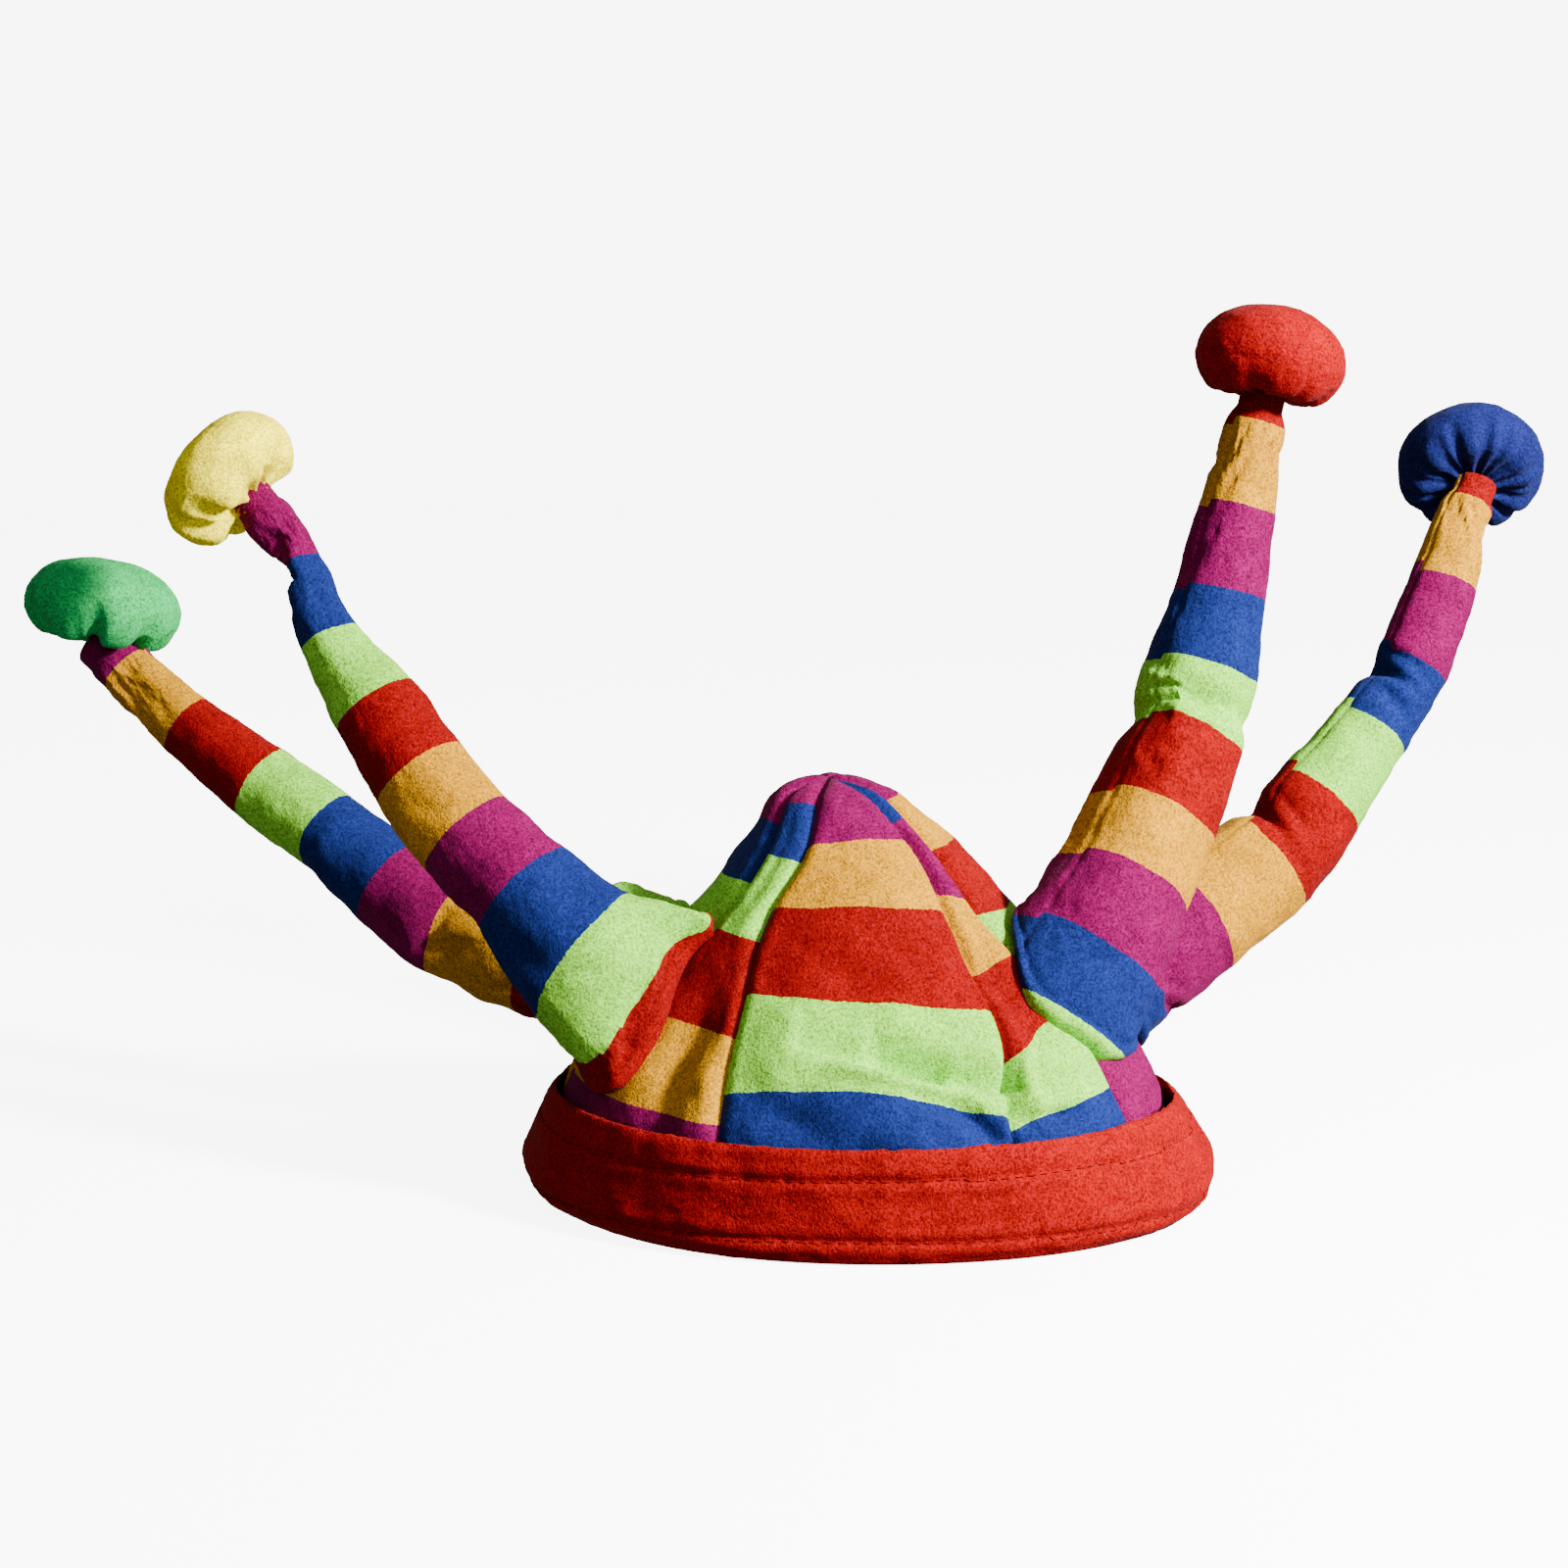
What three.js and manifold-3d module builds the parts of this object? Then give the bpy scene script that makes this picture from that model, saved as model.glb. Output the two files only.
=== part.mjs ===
// A jester hat: a crown of six gores on a turned-up cuff, with four stuffed horns that each end in a
// ball.
//
// Millimetres, +Z up. The origin is the middle of the head opening, in the plane that the cuff rests on.
// The front faces -Y, and +X is the right of someone who looks at the front.
//
// A turn is an angle in degrees round the crown, from the middle of the front towards the right.

import * as THREE from "three";
import { mergeVertices } from "three/addons/utils/BufferGeometryUtils.js";
import Module from "manifold-3d";

// Crown
const crownHalfWidth = 101; // outer face at the lower edge, from the middle to the side
const crownHalfDepth = 84.3; // the same, from the middle to the front
const crownHeight = 135; // resting plane to tip
const crownTipAside = -11; // the tip leans to the left
const crownTipBack = 9; // and to the back
const footTaper = 0.08; // share by which the foot is wider at the front and narrower at the back
const goreWall = 2;
const seamDip = 0.035; // share of the crown's radius that a seam lies below the middle of its gores

// Cuff
const cuffHeight = 36;
const cuffWall = 2.6; // doubled cloth
const cuffStandSide = 12.5; // from the crown's lower edge out to the cuff's fullest line, at the sides
const cuffStandFront = 7; // the same, at the front and back
const cuffLeafHeight = 13; // inner leaf, sewn to the gores
const cuffLeafWall = 1.6;

// Horns and balls
const hornInlet = 30; // from a horn's first section in to its hidden end, which the crown cuts off
const hornInletShare = 0.72; // how much of the root's width is left there
const ballWidth = 52;
const ballHeight = 35;
const ballSink = 1.5; // how far a horn's end goes into its ball
const ballGathers = 12;
const ballGatherDip = 0.06; // share of the ball's radius, next to the neck

// Clearance between pieces that are sewn together
const seamGap = 0.3;
const leafGap = 1; // between the gores and the cuff's inner leaf

// Fineness
const goreColumns = 8;
const goreRows = 14;
const cuffColumns = 48;
const hornSides = 18;
const hornRingsPerStripe = 3;
const ballSides = 24;
const ballRings = 9;

// Colours
const stripedColour = 0xb03060;
const cuffColour = 0xc81414;

// The crown's level sections. up is a share of the height from the gores' foot to the tip, wide and deep
// are shares of the half-width and half-depth, lean is the share of the tip's lean, and puff is the share
// of the seams' dip.
const crownLevels = [
  { up: 0.0, wide: 1.0, deep: 1.0, lean: 0.0, puff: 0 },
  { up: 0.13, wide: 0.99, deep: 1.01, lean: 0.0, puff: 0 },
  { up: 0.25, wide: 0.965, deep: 1.02, lean: 0.02, puff: 0.5 },
  { up: 0.37, wide: 0.88, deep: 0.95, lean: 0.07, puff: 0.9 },
  { up: 0.5, wide: 0.73, deep: 0.81, lean: 0.13, puff: 1 },
  { up: 0.69, wide: 0.505, deep: 0.58, lean: 0.25, puff: 1 },
  { up: 0.78, wide: 0.41, deep: 0.47, lean: 0.32, puff: 1 },
  { up: 0.86, wide: 0.315, deep: 0.365, lean: 0.46, puff: 1 },
  { up: 0.93, wide: 0.21, deep: 0.245, lean: 0.7, puff: 1 },
  { up: 0.975, wide: 0.125, deep: 0.145, lean: 0.88, puff: 1 },
  { up: 1.0, wide: 0.008, deep: 0.01, lean: 1.0, puff: 1 },
];

// The turn of each seam at each height. A seam is named by the gores on its left and right, seen from
// outside.
const seamTurns = [
  { up: 0.0, backLeft: -150, left: -88, frontLeft: -27, frontRight: 28, right: 64, backRight: 150 },
  { up: 0.25, backLeft: -150, left: -85, frontLeft: -27, frontRight: 28, right: 57, backRight: 150 },
  { up: 0.52, backLeft: -148, left: -66, frontLeft: -32, frontRight: 36, right: 60, backRight: 148 },
  { up: 0.72, backLeft: -146, left: -56, frontLeft: -36, frontRight: 38, right: 53, backRight: 146 },
  { up: 0.86, backLeft: -150, left: -53, frontLeft: -26, frontRight: 42, right: 55, backRight: 150 },
  { up: 1.0, backLeft: -150, left: -60, frontLeft: -18, frontRight: 42, right: 64, backRight: 152 },
];

// Dents in the crown, where the horns pull the cloth. across is in degrees, along is a share of the
// height, and deep is a share of the crown's half-depth.
const crownDents = [
  { turn: 20, up: 0.38, across: 9, along: 0.05, deep: 0.035 },
  { turn: 33, up: 0.3, across: 7, along: 0.07, deep: 0.06 },
  { turn: 46, up: 0.52, across: 7, along: 0.12, deep: 0.05 },
  { turn: -42, up: 0.42, across: 7, along: 0.14, deep: 0.045 },
  { turn: 180, up: 0.4, across: 22, along: 0.08, deep: 0.04 },
];

// Gores, each between two of the seams
const gores = [
  { name: "crown_gore_front", from: "frontLeft", to: "frontRight" },
  { name: "crown_gore_front_right", from: "frontRight", to: "right" },
  { name: "crown_gore_back_right", from: "right", to: "backRight" },
  { name: "crown_gore_back", from: "backRight", to: "backLeft" },
  { name: "crown_gore_back_left", from: "backLeft", to: "left" },
  { name: "crown_gore_front_left", from: "left", to: "frontLeft" },
];

// The cuff's outer face from the resting plane to its top edge: shares of its height and of how far it
// stands out
const cuffRows = [
  { up: 0.0, side: 0.32, front: 0.7 },
  { up: 0.1, side: 0.8, front: 0.95 },
  { up: 0.28, side: 1.0, front: 1.0 },
  { up: 0.55, side: 0.72, front: 0.97 },
  { up: 0.83, side: 0.36, front: 0.85 },
  { up: 0.97, side: 0.18, front: 0.76 },
];

// Where the cuff departs from its plain oval. out is how far it stands out there at its foot, as a share
// of the crown's half-width, and drop is how far its top edge sinks, as a share of its height. across is
// in degrees.
const cuffBulges = [
  { turn: 52, across: 34, out: 0.055, drop: 0 },
  { turn: -65, across: 30, out: -0.025, drop: 0 },
  { turn: 122, across: 46, out: 0, drop: 0.22 },
  { turn: -125, across: 42, out: 0, drop: 0.12 },
];
const cuffBulgeTopShare = 0.4; // how much of it is left at the top edge

// Horns. Each has a row for each edge between two stripes, counted from the crown, and one for its end.
// out, back and up are shares of its reach, setback and rise from its root, wide is a share of its root's
// width, and deep is its depth as a share of the width there. The creases are pinches: pinch is a share
// of the width there, and facing is the angle round the horn, from its lower side towards its back. A
// ball's out, back and up are the direction of its axis, away from the neck. shift, wide and tall are
// shares of the balls' width, width and height.
const horns = [
  {
    place: "front_left",
    side: -1,
    root: { turn: -63.5, up: 0.505, standOff: 1 },
    reach: 132.6,
    setback: 75.8,
    rise: 148.8,
    rootWidth: 66,
    rows: [
      { stripe: 0, out: 0, back: 0, up: 0, wide: 1, deep: 0.48 },
      { stripe: 1, out: 0.16, back: 0.06, up: 0.09, wide: 0.74, deep: 0.8 },
      { stripe: 2, out: 0.3, back: 0.19, up: 0.21, wide: 0.6, deep: 0.9 },
      { stripe: 3, out: 0.44, back: 0.34, up: 0.32, wide: 0.54, deep: 0.92 },
      { stripe: 4, out: 0.56, back: 0.49, up: 0.44, wide: 0.51, deep: 0.92 },
      { stripe: 5, out: 0.68, back: 0.65, up: 0.58, wide: 0.45, deep: 0.92 },
      { stripe: 6, out: 0.8, back: 0.78, up: 0.72, wide: 0.31, deep: 0.92 },
      { stripe: 7, out: 0.89, back: 0.91, up: 0.88, wide: 0.25, deep: 0.92 },
      { stripe: 8, out: 1, back: 1, up: 1, wide: 0.25, deep: 0.92 },
    ],
    creases: [{ stripe: 7, along: 0.25, facing: 20, across: 70, pinch: 0.14 }],
    ball: { out: 0.76, back: 0.2, up: 0.6, shift: -0.03, wide: 0.98, tall: 0.96, colour: 0xf0ec6e },
  },
  {
    place: "back_left",
    side: -1,
    root: { turn: -111.5, up: 0.472, standOff: 10.5 },
    reach: 187.8,
    setback: 89.3,
    rise: 92.5,
    rootWidth: 56,
    rows: [
      { stripe: 0, out: 0, back: 0, up: 0, wide: 1, deep: 0.72 },
      { stripe: 1, out: 0.15, back: 0.095, up: 0.015, wide: 0.75, deep: 0.84 },
      { stripe: 2, out: 0.3, back: 0.22, up: 0.08, wide: 0.66, deep: 0.9 },
      { stripe: 3, out: 0.42, back: 0.365, up: 0.215, wide: 0.59, deep: 0.92 },
      { stripe: 4, out: 0.545, back: 0.51, up: 0.39, wide: 0.54, deep: 0.92 },
      { stripe: 5, out: 0.67, back: 0.655, up: 0.54, wide: 0.52, deep: 0.92 },
      { stripe: 6, out: 0.82, back: 0.81, up: 0.735, wide: 0.42, deep: 0.92 },
      { stripe: 7, out: 0.95, back: 0.94, up: 0.92, wide: 0.36, deep: 0.92 },
      { stripe: 7.4, out: 1, back: 1, up: 1, wide: 0.37, deep: 0.92 },
    ],
    creases: [{ stripe: 1.9, along: 0.3, facing: 300, across: 50, pinch: 0.12 }],
    ball: { out: -0.17, back: 0.15, up: 0.97, shift: 0.1, wide: 1.07, tall: 1.03, colour: 0x2e9a5a },
  },
  {
    place: "front_right",
    side: 1,
    root: { turn: 59.7, up: 0.424, standOff: -15 },
    reach: 73.7,
    setback: 76.2,
    rise: 192.9,
    rootWidth: 55,
    rows: [
      { stripe: 0, out: 0, back: 0, up: 0, wide: 1, deep: 0.6 },
      { stripe: 1, out: 0.165, back: 0.155, up: 0.1, wide: 0.95, deep: 0.74 },
      { stripe: 2, out: 0.34, back: 0.315, up: 0.205, wide: 0.86, deep: 0.88 },
      { stripe: 3, out: 0.485, back: 0.475, up: 0.31, wide: 0.81, deep: 0.92 },
      { stripe: 4, out: 0.64, back: 0.62, up: 0.44, wide: 0.76, deep: 0.92 },
      { stripe: 5, out: 0.735, back: 0.75, up: 0.545, wide: 0.71, deep: 0.92 },
      { stripe: 6, out: 0.825, back: 0.84, up: 0.675, wide: 0.56, deep: 0.92 },
      { stripe: 7, out: 0.9, back: 0.91, up: 0.82, wide: 0.46, deep: 0.92 },
      { stripe: 8, out: 0.975, back: 0.98, up: 0.96, wide: 0.37, deep: 0.92 },
      { stripe: 8.3, out: 1, back: 1, up: 1, wide: 0.32, deep: 0.92 },
    ],
    creases: [
      { stripe: 4.1, along: 0.25, facing: 175, across: 45, pinch: 0.08 },
      { stripe: 4.5, along: 0.2, facing: 290, across: 60, pinch: 0.09 },
    ],
    ball: { out: 0.2, back: 0.12, up: 0.97, shift: 0, wide: 0.97, tall: 1.02, colour: 0xd21a1e },
  },
  {
    place: "back_right",
    side: 1,
    root: { turn: 111.5, up: 0.349, standOff: -10.5 },
    reach: 150.2,
    setback: 103.8,
    rise: 164.5,
    rootWidth: 48,
    rows: [
      { stripe: 0, out: 0, back: 0, up: 0, wide: 1, deep: 0.8 },
      { stripe: 1, out: 0.14, back: 0.105, up: 0.09, wide: 0.92, deep: 0.88 },
      { stripe: 2, out: 0.3, back: 0.235, up: 0.185, wide: 0.87, deep: 0.92 },
      { stripe: 3, out: 0.475, back: 0.37, up: 0.285, wide: 0.8, deep: 0.92 },
      { stripe: 4, out: 0.6, back: 0.485, up: 0.41, wide: 0.7, deep: 0.92 },
      { stripe: 5, out: 0.73, back: 0.605, up: 0.545, wide: 0.58, deep: 0.92 },
      { stripe: 6, out: 0.83, back: 0.705, up: 0.675, wide: 0.56, deep: 0.92 },
      { stripe: 7, out: 0.915, back: 0.835, up: 0.845, wide: 0.5, deep: 0.92 },
      { stripe: 8, out: 1, back: 1, up: 1, wide: 0.37, deep: 0.92 },
    ],
    creases: [
      { stripe: 3.2, along: 0.22, facing: 180, across: 45, pinch: 0.12 },
      { stripe: 5.6, along: 0.2, facing: 180, across: 45, pinch: 0.14 },
    ],
    ball: { out: 0.05, back: 0.8, up: 0.58, shift: 0.03, wide: 1.02, tall: 1.0, colour: 0x24368f },
  },
];

const goreFoot = cuffWall + seamGap; // the gores stand in the fold of the cuff

const wasm = await Module();
wasm.setup();

// Reads a column of a table between its rows, on a smooth curve through them. key is the column that
// counts up.
function read(rows, key, at, column) {
  let i = 0;
  while (i < rows.length - 2 && at > rows[i + 1][key]) i++;
  const slope = (j) => {
    const low = rows[Math.max(j - 1, 0)];
    const high = rows[Math.min(j + 1, rows.length - 1)];
    return (high[column] - low[column]) / (high[key] - low[key]);
  };
  const span = rows[i + 1][key] - rows[i][key];
  const t = (at - rows[i][key]) / span;
  return (
    rows[i][column] * (1 + 2 * t) * (1 - t) ** 2 +
    rows[i + 1][column] * t * t * (3 - 2 * t) +
    span * slope(i) * t * (1 - t) ** 2 +
    span * slope(i + 1) * t * t * (t - 1)
  );
}

// A bump of height 1 at 0 that fades out over about one unit
const bump = (x) => Math.exp(-x * x);

// An angle in degrees brought to between -180 and 180
const wrapped = (degrees) => degrees - 360 * Math.round(degrees / 360);

// How much wider the crown is at an angle than a plain oval: it tapers to the back at its foot, not at
// its tip
const taper = (angle, up) => 1 + footTaper * (1 - up) * Math.cos(angle);

// A point of the crown's plain form, where radius 1 is its surface
function crownForm(turn, up, radius) {
  const angle = THREE.MathUtils.degToRad(turn);
  const lean = read(crownLevels, "up", up, "lean");
  const wide = crownHalfWidth * read(crownLevels, "up", up, "wide") * radius;
  const deep = crownHalfDepth * read(crownLevels, "up", up, "deep") * radius;
  return new THREE.Vector3(
    crownTipAside * lean + wide * Math.sin(angle) * taper(angle, up),
    crownTipBack * lean - deep * Math.cos(angle),
    goreFoot + up * (crownHeight - goreFoot),
  );
}

// The direction out of the crown's plain form
function crownNormal(turn, up) {
  const step = 0.004;
  const low = Math.max(up - step, 0);
  const high = Math.min(up + step, 1);
  const around = crownForm(turn + 1, up, 1).sub(crownForm(turn - 1, up, 1));
  const upward = crownForm(turn, high, 1).sub(crownForm(turn, low, 1));
  return around.cross(upward).normalize();
}

// A point of the crown's outer face, moved out by a distance. share runs from 0 to 1 across the gore.
function crownPoint(gore, share, up, out) {
  const from = read(seamTurns, "up", up, gore.from);
  let to = read(seamTurns, "up", up, gore.to);
  if (to < from) to += 360;
  const turn = from + (to - from) * share;
  const valley = read(crownLevels, "up", up, "puff") * (1 - Math.sin(Math.PI * share)) ** 2;
  let dent = 0;
  for (const d of crownDents) {
    dent += d.deep * bump(wrapped(turn - d.turn) / d.across) * bump((up - d.up) / d.along);
  }
  const point = crownForm(turn, up, 1 - seamDip * valley - dent);
  return point.addScaledVector(crownNormal(turn, up), out);
}

// A closed mesh from a list of points and a list of triangles
function closedMesh(points, triangles) {
  const geometry = new THREE.BufferGeometry().setFromPoints(points);
  geometry.setIndex(triangles.flat());
  return geometry;
}

// Joins two rings of equal length by triangles that face out when the rings turn leftwards seen from
// their far end
function bridge(triangles, a, b, count) {
  for (let i = 0; i < count; i++) {
    const next = (i + 1) % count;
    triangles.push([a + i, a + next, b + next], [a + i, b + next, b + i]);
  }
}

// A tube through rings of points, closed at both ends by a fan round the middle of the end ring
function loft(rings) {
  const count = rings[0].length;
  const middle = (ring) =>
    ring.reduce((sum, p) => sum.add(p), new THREE.Vector3()).divideScalar(count);
  const points = [...rings.flat(), middle(rings[0]), middle(rings.at(-1))];
  const triangles = [];
  for (let j = 0; j < rings.length - 1; j++) bridge(triangles, j * count, (j + 1) * count, count);
  const last = (rings.length - 1) * count;
  for (let i = 0; i < count; i++) {
    const next = (i + 1) % count;
    triangles.push([points.length - 2, next, i], [points.length - 1, last + i, last + next]);
  }
  return closedMesh(points, triangles);
}

// A sheet with thickness: two grids of the same size, joined along their four sides
function slab(outer, inner) {
  const rows = outer.length;
  const columns = outer[0].length;
  const points = [...outer.flat(), ...inner.flat()];
  const second = rows * columns;
  const triangles = [];
  const quad = (a, b, c, d) => triangles.push([a, b, c], [a, c, d]);
  for (let j = 0; j < rows - 1; j++) {
    for (let i = 0; i < columns - 1; i++) {
      const at = j * columns + i;
      quad(at, at + 1, at + 1 + columns, at + columns);
      triangles.push([second + at, second + at + 1 + columns, second + at + 1]);
      triangles.push([second + at, second + at + columns, second + at + 1 + columns]);
    }
  }
  const top = (rows - 1) * columns;
  for (let i = 0; i < columns - 1; i++) {
    quad(i + 1, i, second + i, second + i + 1);
    quad(top + i, top + i + 1, second + top + i + 1, second + top + i);
  }
  for (let j = 0; j < rows - 1; j++) {
    const low = j * columns;
    const high = low + columns;
    quad(low, high, second + high, second + low);
    const end = columns - 1;
    quad(high + end, low + end, second + low + end, second + high + end);
  }
  return closedMesh(points, triangles);
}

// The height of each row of a gore's grid, closer together towards the tip
const goreRowHeight = (j) => 1 - (1 - j / goreRows) ** 1.25;

// One gore, with half of the seam's clearance on each side
function goreGeometry(gore) {
  const skin = (depth) =>
    Array.from({ length: goreRows + 1 }, (_, j) => {
      const up = goreRowHeight(j);
      const width = crownPoint(gore, 0, up, 0).distanceTo(crownPoint(gore, 1, up, 0));
      const edge = Math.min(seamGap / 2 / width, 0.4);
      return Array.from({ length: goreColumns + 1 }, (_, i) =>
        crownPoint(gore, edge + (1 - 2 * edge) * (i / goreColumns), up, -depth),
      );
    });
  return slab(skin(0), skin(goreWall));
}

// The whole crown as one filled body, a clearance larger than its gores, which cuts the horns off at its
// surface
function crownBodyGeometry() {
  const rings = Array.from({ length: goreRows + 1 }, (_, j) =>
    gores.flatMap((gore) =>
      Array.from({ length: goreColumns }, (_, i) =>
        crownPoint(gore, i / goreColumns, goreRowHeight(j), seamGap),
      ),
    ),
  );
  return loft(rings);
}

// A point of a level oval round the crown's foot, moved in from its outer line by an inset
function ovalPoint(halfWidth, halfDepth, inset, turn, height) {
  const angle = THREE.MathUtils.degToRad(turn);
  const normal = new THREE.Vector3(Math.sin(angle) / halfWidth, -Math.cos(angle) / halfDepth, 0);
  normal.normalize();
  const point = new THREE.Vector3(
    halfWidth * Math.sin(angle) * taper(angle, 0),
    -halfDepth * Math.cos(angle),
    height,
  );
  return point.addScaledVector(normal, -inset);
}

// How high a share of the cuff's height is at a turn
function cuffLevel(share, turn) {
  let drop = 0;
  for (const b of cuffBulges) drop += b.drop * bump(wrapped(turn - b.turn) / b.across);
  return share * cuffHeight * (1 - drop * share);
}

// A point of the cuff's outer face on one of its rows, moved in by an inset
function cuffPoint(row, inset, turn, height) {
  let stand = 0;
  for (const b of cuffBulges) {
    stand += b.out * bump(wrapped(turn - b.turn) / b.across) * (1 - (1 - cuffBulgeTopShare) * row.up);
  }
  return ovalPoint(
    crownHalfWidth + cuffStandSide * row.side,
    crownHalfDepth + cuffStandFront * row.front,
    inset - stand * crownHalfWidth,
    turn,
    height,
  );
}

// The cuff: an outer leaf that stands up round the crown, a flat fold that it rests on, and a low inner
// leaf
function cuffGeometry() {
  const leafInset = goreWall + leafGap;
  const section = (turn) => {
    const outer = (row, inset, height) => cuffPoint(row, inset, turn, height);
    const leaf = (inset, height) =>
      ovalPoint(crownHalfWidth, crownHalfDepth, leafInset + inset, turn, height);
    const top = cuffRows.at(-1);
    const inside = cuffRows.slice(1, -1).reverse();
    return [
      ...cuffRows.map((row) => outer(row, 0, cuffLevel(row.up, turn))),
      outer(top, cuffWall / 2, cuffLevel(1, turn)),
      outer(top, cuffWall, cuffLevel(top.up, turn)),
      ...inside.map((row) => outer(row, cuffWall, Math.max(cuffLevel(row.up, turn), cuffWall + 1))),
      outer(cuffRows[0], cuffWall / 2, cuffWall),
      leaf(0, cuffWall),
      leaf(0, cuffLeafHeight),
      leaf(cuffLeafWall, cuffLeafHeight),
      leaf(cuffLeafWall, 0),
    ];
  };
  const sections = Array.from({ length: cuffColumns }, (_, i) => section((360 * i) / cuffColumns));
  const count = sections[0].length;
  const triangles = [];
  for (let i = 0; i < cuffColumns; i++) {
    bridge(triangles, ((i + 1) % cuffColumns) * count, i * count, count);
  }
  return closedMesh(sections.flat(), triangles);
}

// The space inside the cuff's outer line up to just over its top edge, which the horns stay out of
function cuffSpaceGeometry() {
  const top = { ...cuffRows.at(-1), up: 1 };
  const rings = [...cuffRows, top].map((row) =>
    Array.from({ length: cuffColumns }, (_, i) => {
      const turn = (360 * i) / cuffColumns;
      return cuffPoint(row, -seamGap, turn, cuffLevel(row.up, turn) + row.up * seamGap);
    }),
  );
  return loft(rings);
}

// A horn's root: a point that stands off the crown's side
function hornRoot(horn) {
  const { turn, up, standOff } = horn.root;
  const angle = THREE.MathUtils.degToRad(turn);
  const outward = new THREE.Vector3(Math.sin(angle), -Math.cos(angle), 0);
  return crownForm(turn, up, 1).addScaledVector(outward, standOff);
}

// The middle of a horn at a stripe count
function hornMiddle(horn, stripe) {
  const share = (column) => read(horn.rows, "stripe", stripe, column);
  return hornRoot(horn).add(
    new THREE.Vector3(
      horn.side * horn.reach * share("out"),
      horn.setback * share("back"),
      horn.rise * share("up"),
    ),
  );
}

// The direction of a horn at a stripe count, towards its end
function hornDirection(horn, stripe) {
  const step = 0.1;
  const last = horn.rows.at(-1).stripe;
  const ahead = hornMiddle(horn, Math.min(stripe + step, last));
  const behind = hornMiddle(horn, Math.max(stripe - step, 0));
  return ahead.sub(behind).normalize();
}

// A ring of a horn, grown by a clearance, shifted along the horn and scaled
function hornRing(horn, stripe, grow, shift, scale = 1) {
  const along = hornDirection(horn, stripe);
  const middle = hornMiddle(horn, stripe).addScaledVector(along, shift);
  const backwards = new THREE.Vector3(0, 1, 0);
  const across = new THREE.Vector3().crossVectors(along, backwards).normalize();
  const through = new THREE.Vector3().crossVectors(across, along);
  const low = across.clone().multiplyScalar(-Math.sign(across.z || 1));
  const halfWidth = scale * (horn.rootWidth / 2) * read(horn.rows, "stripe", stripe, "wide");
  const halfDepth = halfWidth * read(horn.rows, "stripe", stripe, "deep");
  const turnsLeft = new THREE.Vector3().crossVectors(low, through).dot(along) > 0 ? 1 : -1;
  return Array.from({ length: hornSides }, (_, i) => {
    const degrees = (turnsLeft * 360 * i) / hornSides;
    const angle = THREE.MathUtils.degToRad(degrees);
    let radius = 1;
    for (const c of horn.creases) {
      const near = bump(wrapped(degrees - c.facing) / c.across) * bump((stripe - c.stripe) / c.along);
      radius -= 2 * c.pinch * near;
    }
    return middle
      .clone()
      .addScaledVector(low, Math.cos(angle) * (halfWidth * radius + grow))
      .addScaledVector(through, Math.sin(angle) * (halfDepth * radius + grow));
  });
}

// A horn from inside the crown to its end
function hornGeometry(horn, grow) {
  const last = horn.rows.at(-1).stripe;
  const steps = Math.round(last * hornRingsPerStripe);
  const rings = [hornRing(horn, 0, grow, -hornInlet - grow, hornInletShare)];
  for (let i = 0; i <= steps; i++) rings.push(hornRing(horn, (last * i) / steps, grow, 0));
  rings.push(hornRing(horn, last, grow - 1, 1 + grow));
  return loft(rings);
}

// A ball on the end of its horn: flattened along its axis, with gathers that fade out away from the neck
function ballGeometry(horn) {
  const { ball } = horn;
  const end = hornMiddle(horn, horn.rows.at(-1).stripe);
  const axis = new THREE.Vector3(horn.side * ball.out, ball.back, ball.up).normalize();
  const halfWidth = (ballWidth / 2) * ball.wide;
  const halfHeight = (ballHeight / 2) * ball.tall;
  const sideways = new THREE.Vector3().crossVectors(axis, new THREE.Vector3(0, 1, 0.3)).normalize();
  const third = new THREE.Vector3().crossVectors(axis, sideways);
  const middle = end.addScaledVector(axis, halfHeight - ballSink);
  middle.x += horn.side * ball.shift * ballWidth;
  const rings = [];
  for (let j = 1; j < ballRings; j++) {
    const latitude = Math.PI * (j / ballRings - 0.5);
    const nearNeck = (1 - Math.sin(latitude)) / 2;
    rings.push(
      Array.from({ length: ballSides }, (_, i) => {
        const angle = (2 * Math.PI * i) / ballSides;
        const gather = ballGatherDip * nearNeck ** 2 * Math.cos(ballGathers * angle);
        const radius = halfWidth * Math.cos(latitude) ** 0.85 * (1 + gather);
        return middle
          .clone()
          .addScaledVector(sideways, Math.cos(angle) * radius)
          .addScaledVector(third, Math.sin(angle) * radius)
          .addScaledVector(axis, halfHeight * Math.sin(latitude));
      }),
    );
  }
  return loft(rings);
}

// A geometry as a solid that can be cut
function solidOf(geometry) {
  const merged = mergeVertices(geometry, 1e-4);
  return new wasm.Manifold(
    new wasm.Mesh({
      numProp: 3,
      vertProperties: merged.attributes.position.array,
      triVerts: new Uint32Array(merged.index.array),
    }),
  );
}

// A solid as a geometry
function geometryOf(solid) {
  const { vertProperties, triVerts } = solid.getMesh();
  return new THREE.BufferGeometry()
    .setAttribute("position", new THREE.BufferAttribute(vertProperties, 3))
    .setIndex(new THREE.BufferAttribute(triVerts, 1));
}

// A named mesh of a cloth piece in its own colour
function clothMesh(name, geometry, colour) {
  geometry.computeVertexNormals();
  const material = new THREE.MeshStandardMaterial({ color: colour, roughness: 0.9, metalness: 0 });
  const mesh = new THREE.Mesh(geometry, material);
  mesh.name = name;
  return mesh;
}

const hat = new THREE.Group();

for (const gore of gores) hat.add(clothMesh(gore.name, goreGeometry(gore), stripedColour));

hat.add(clothMesh("cuff", cuffGeometry(), cuffColour));

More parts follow.
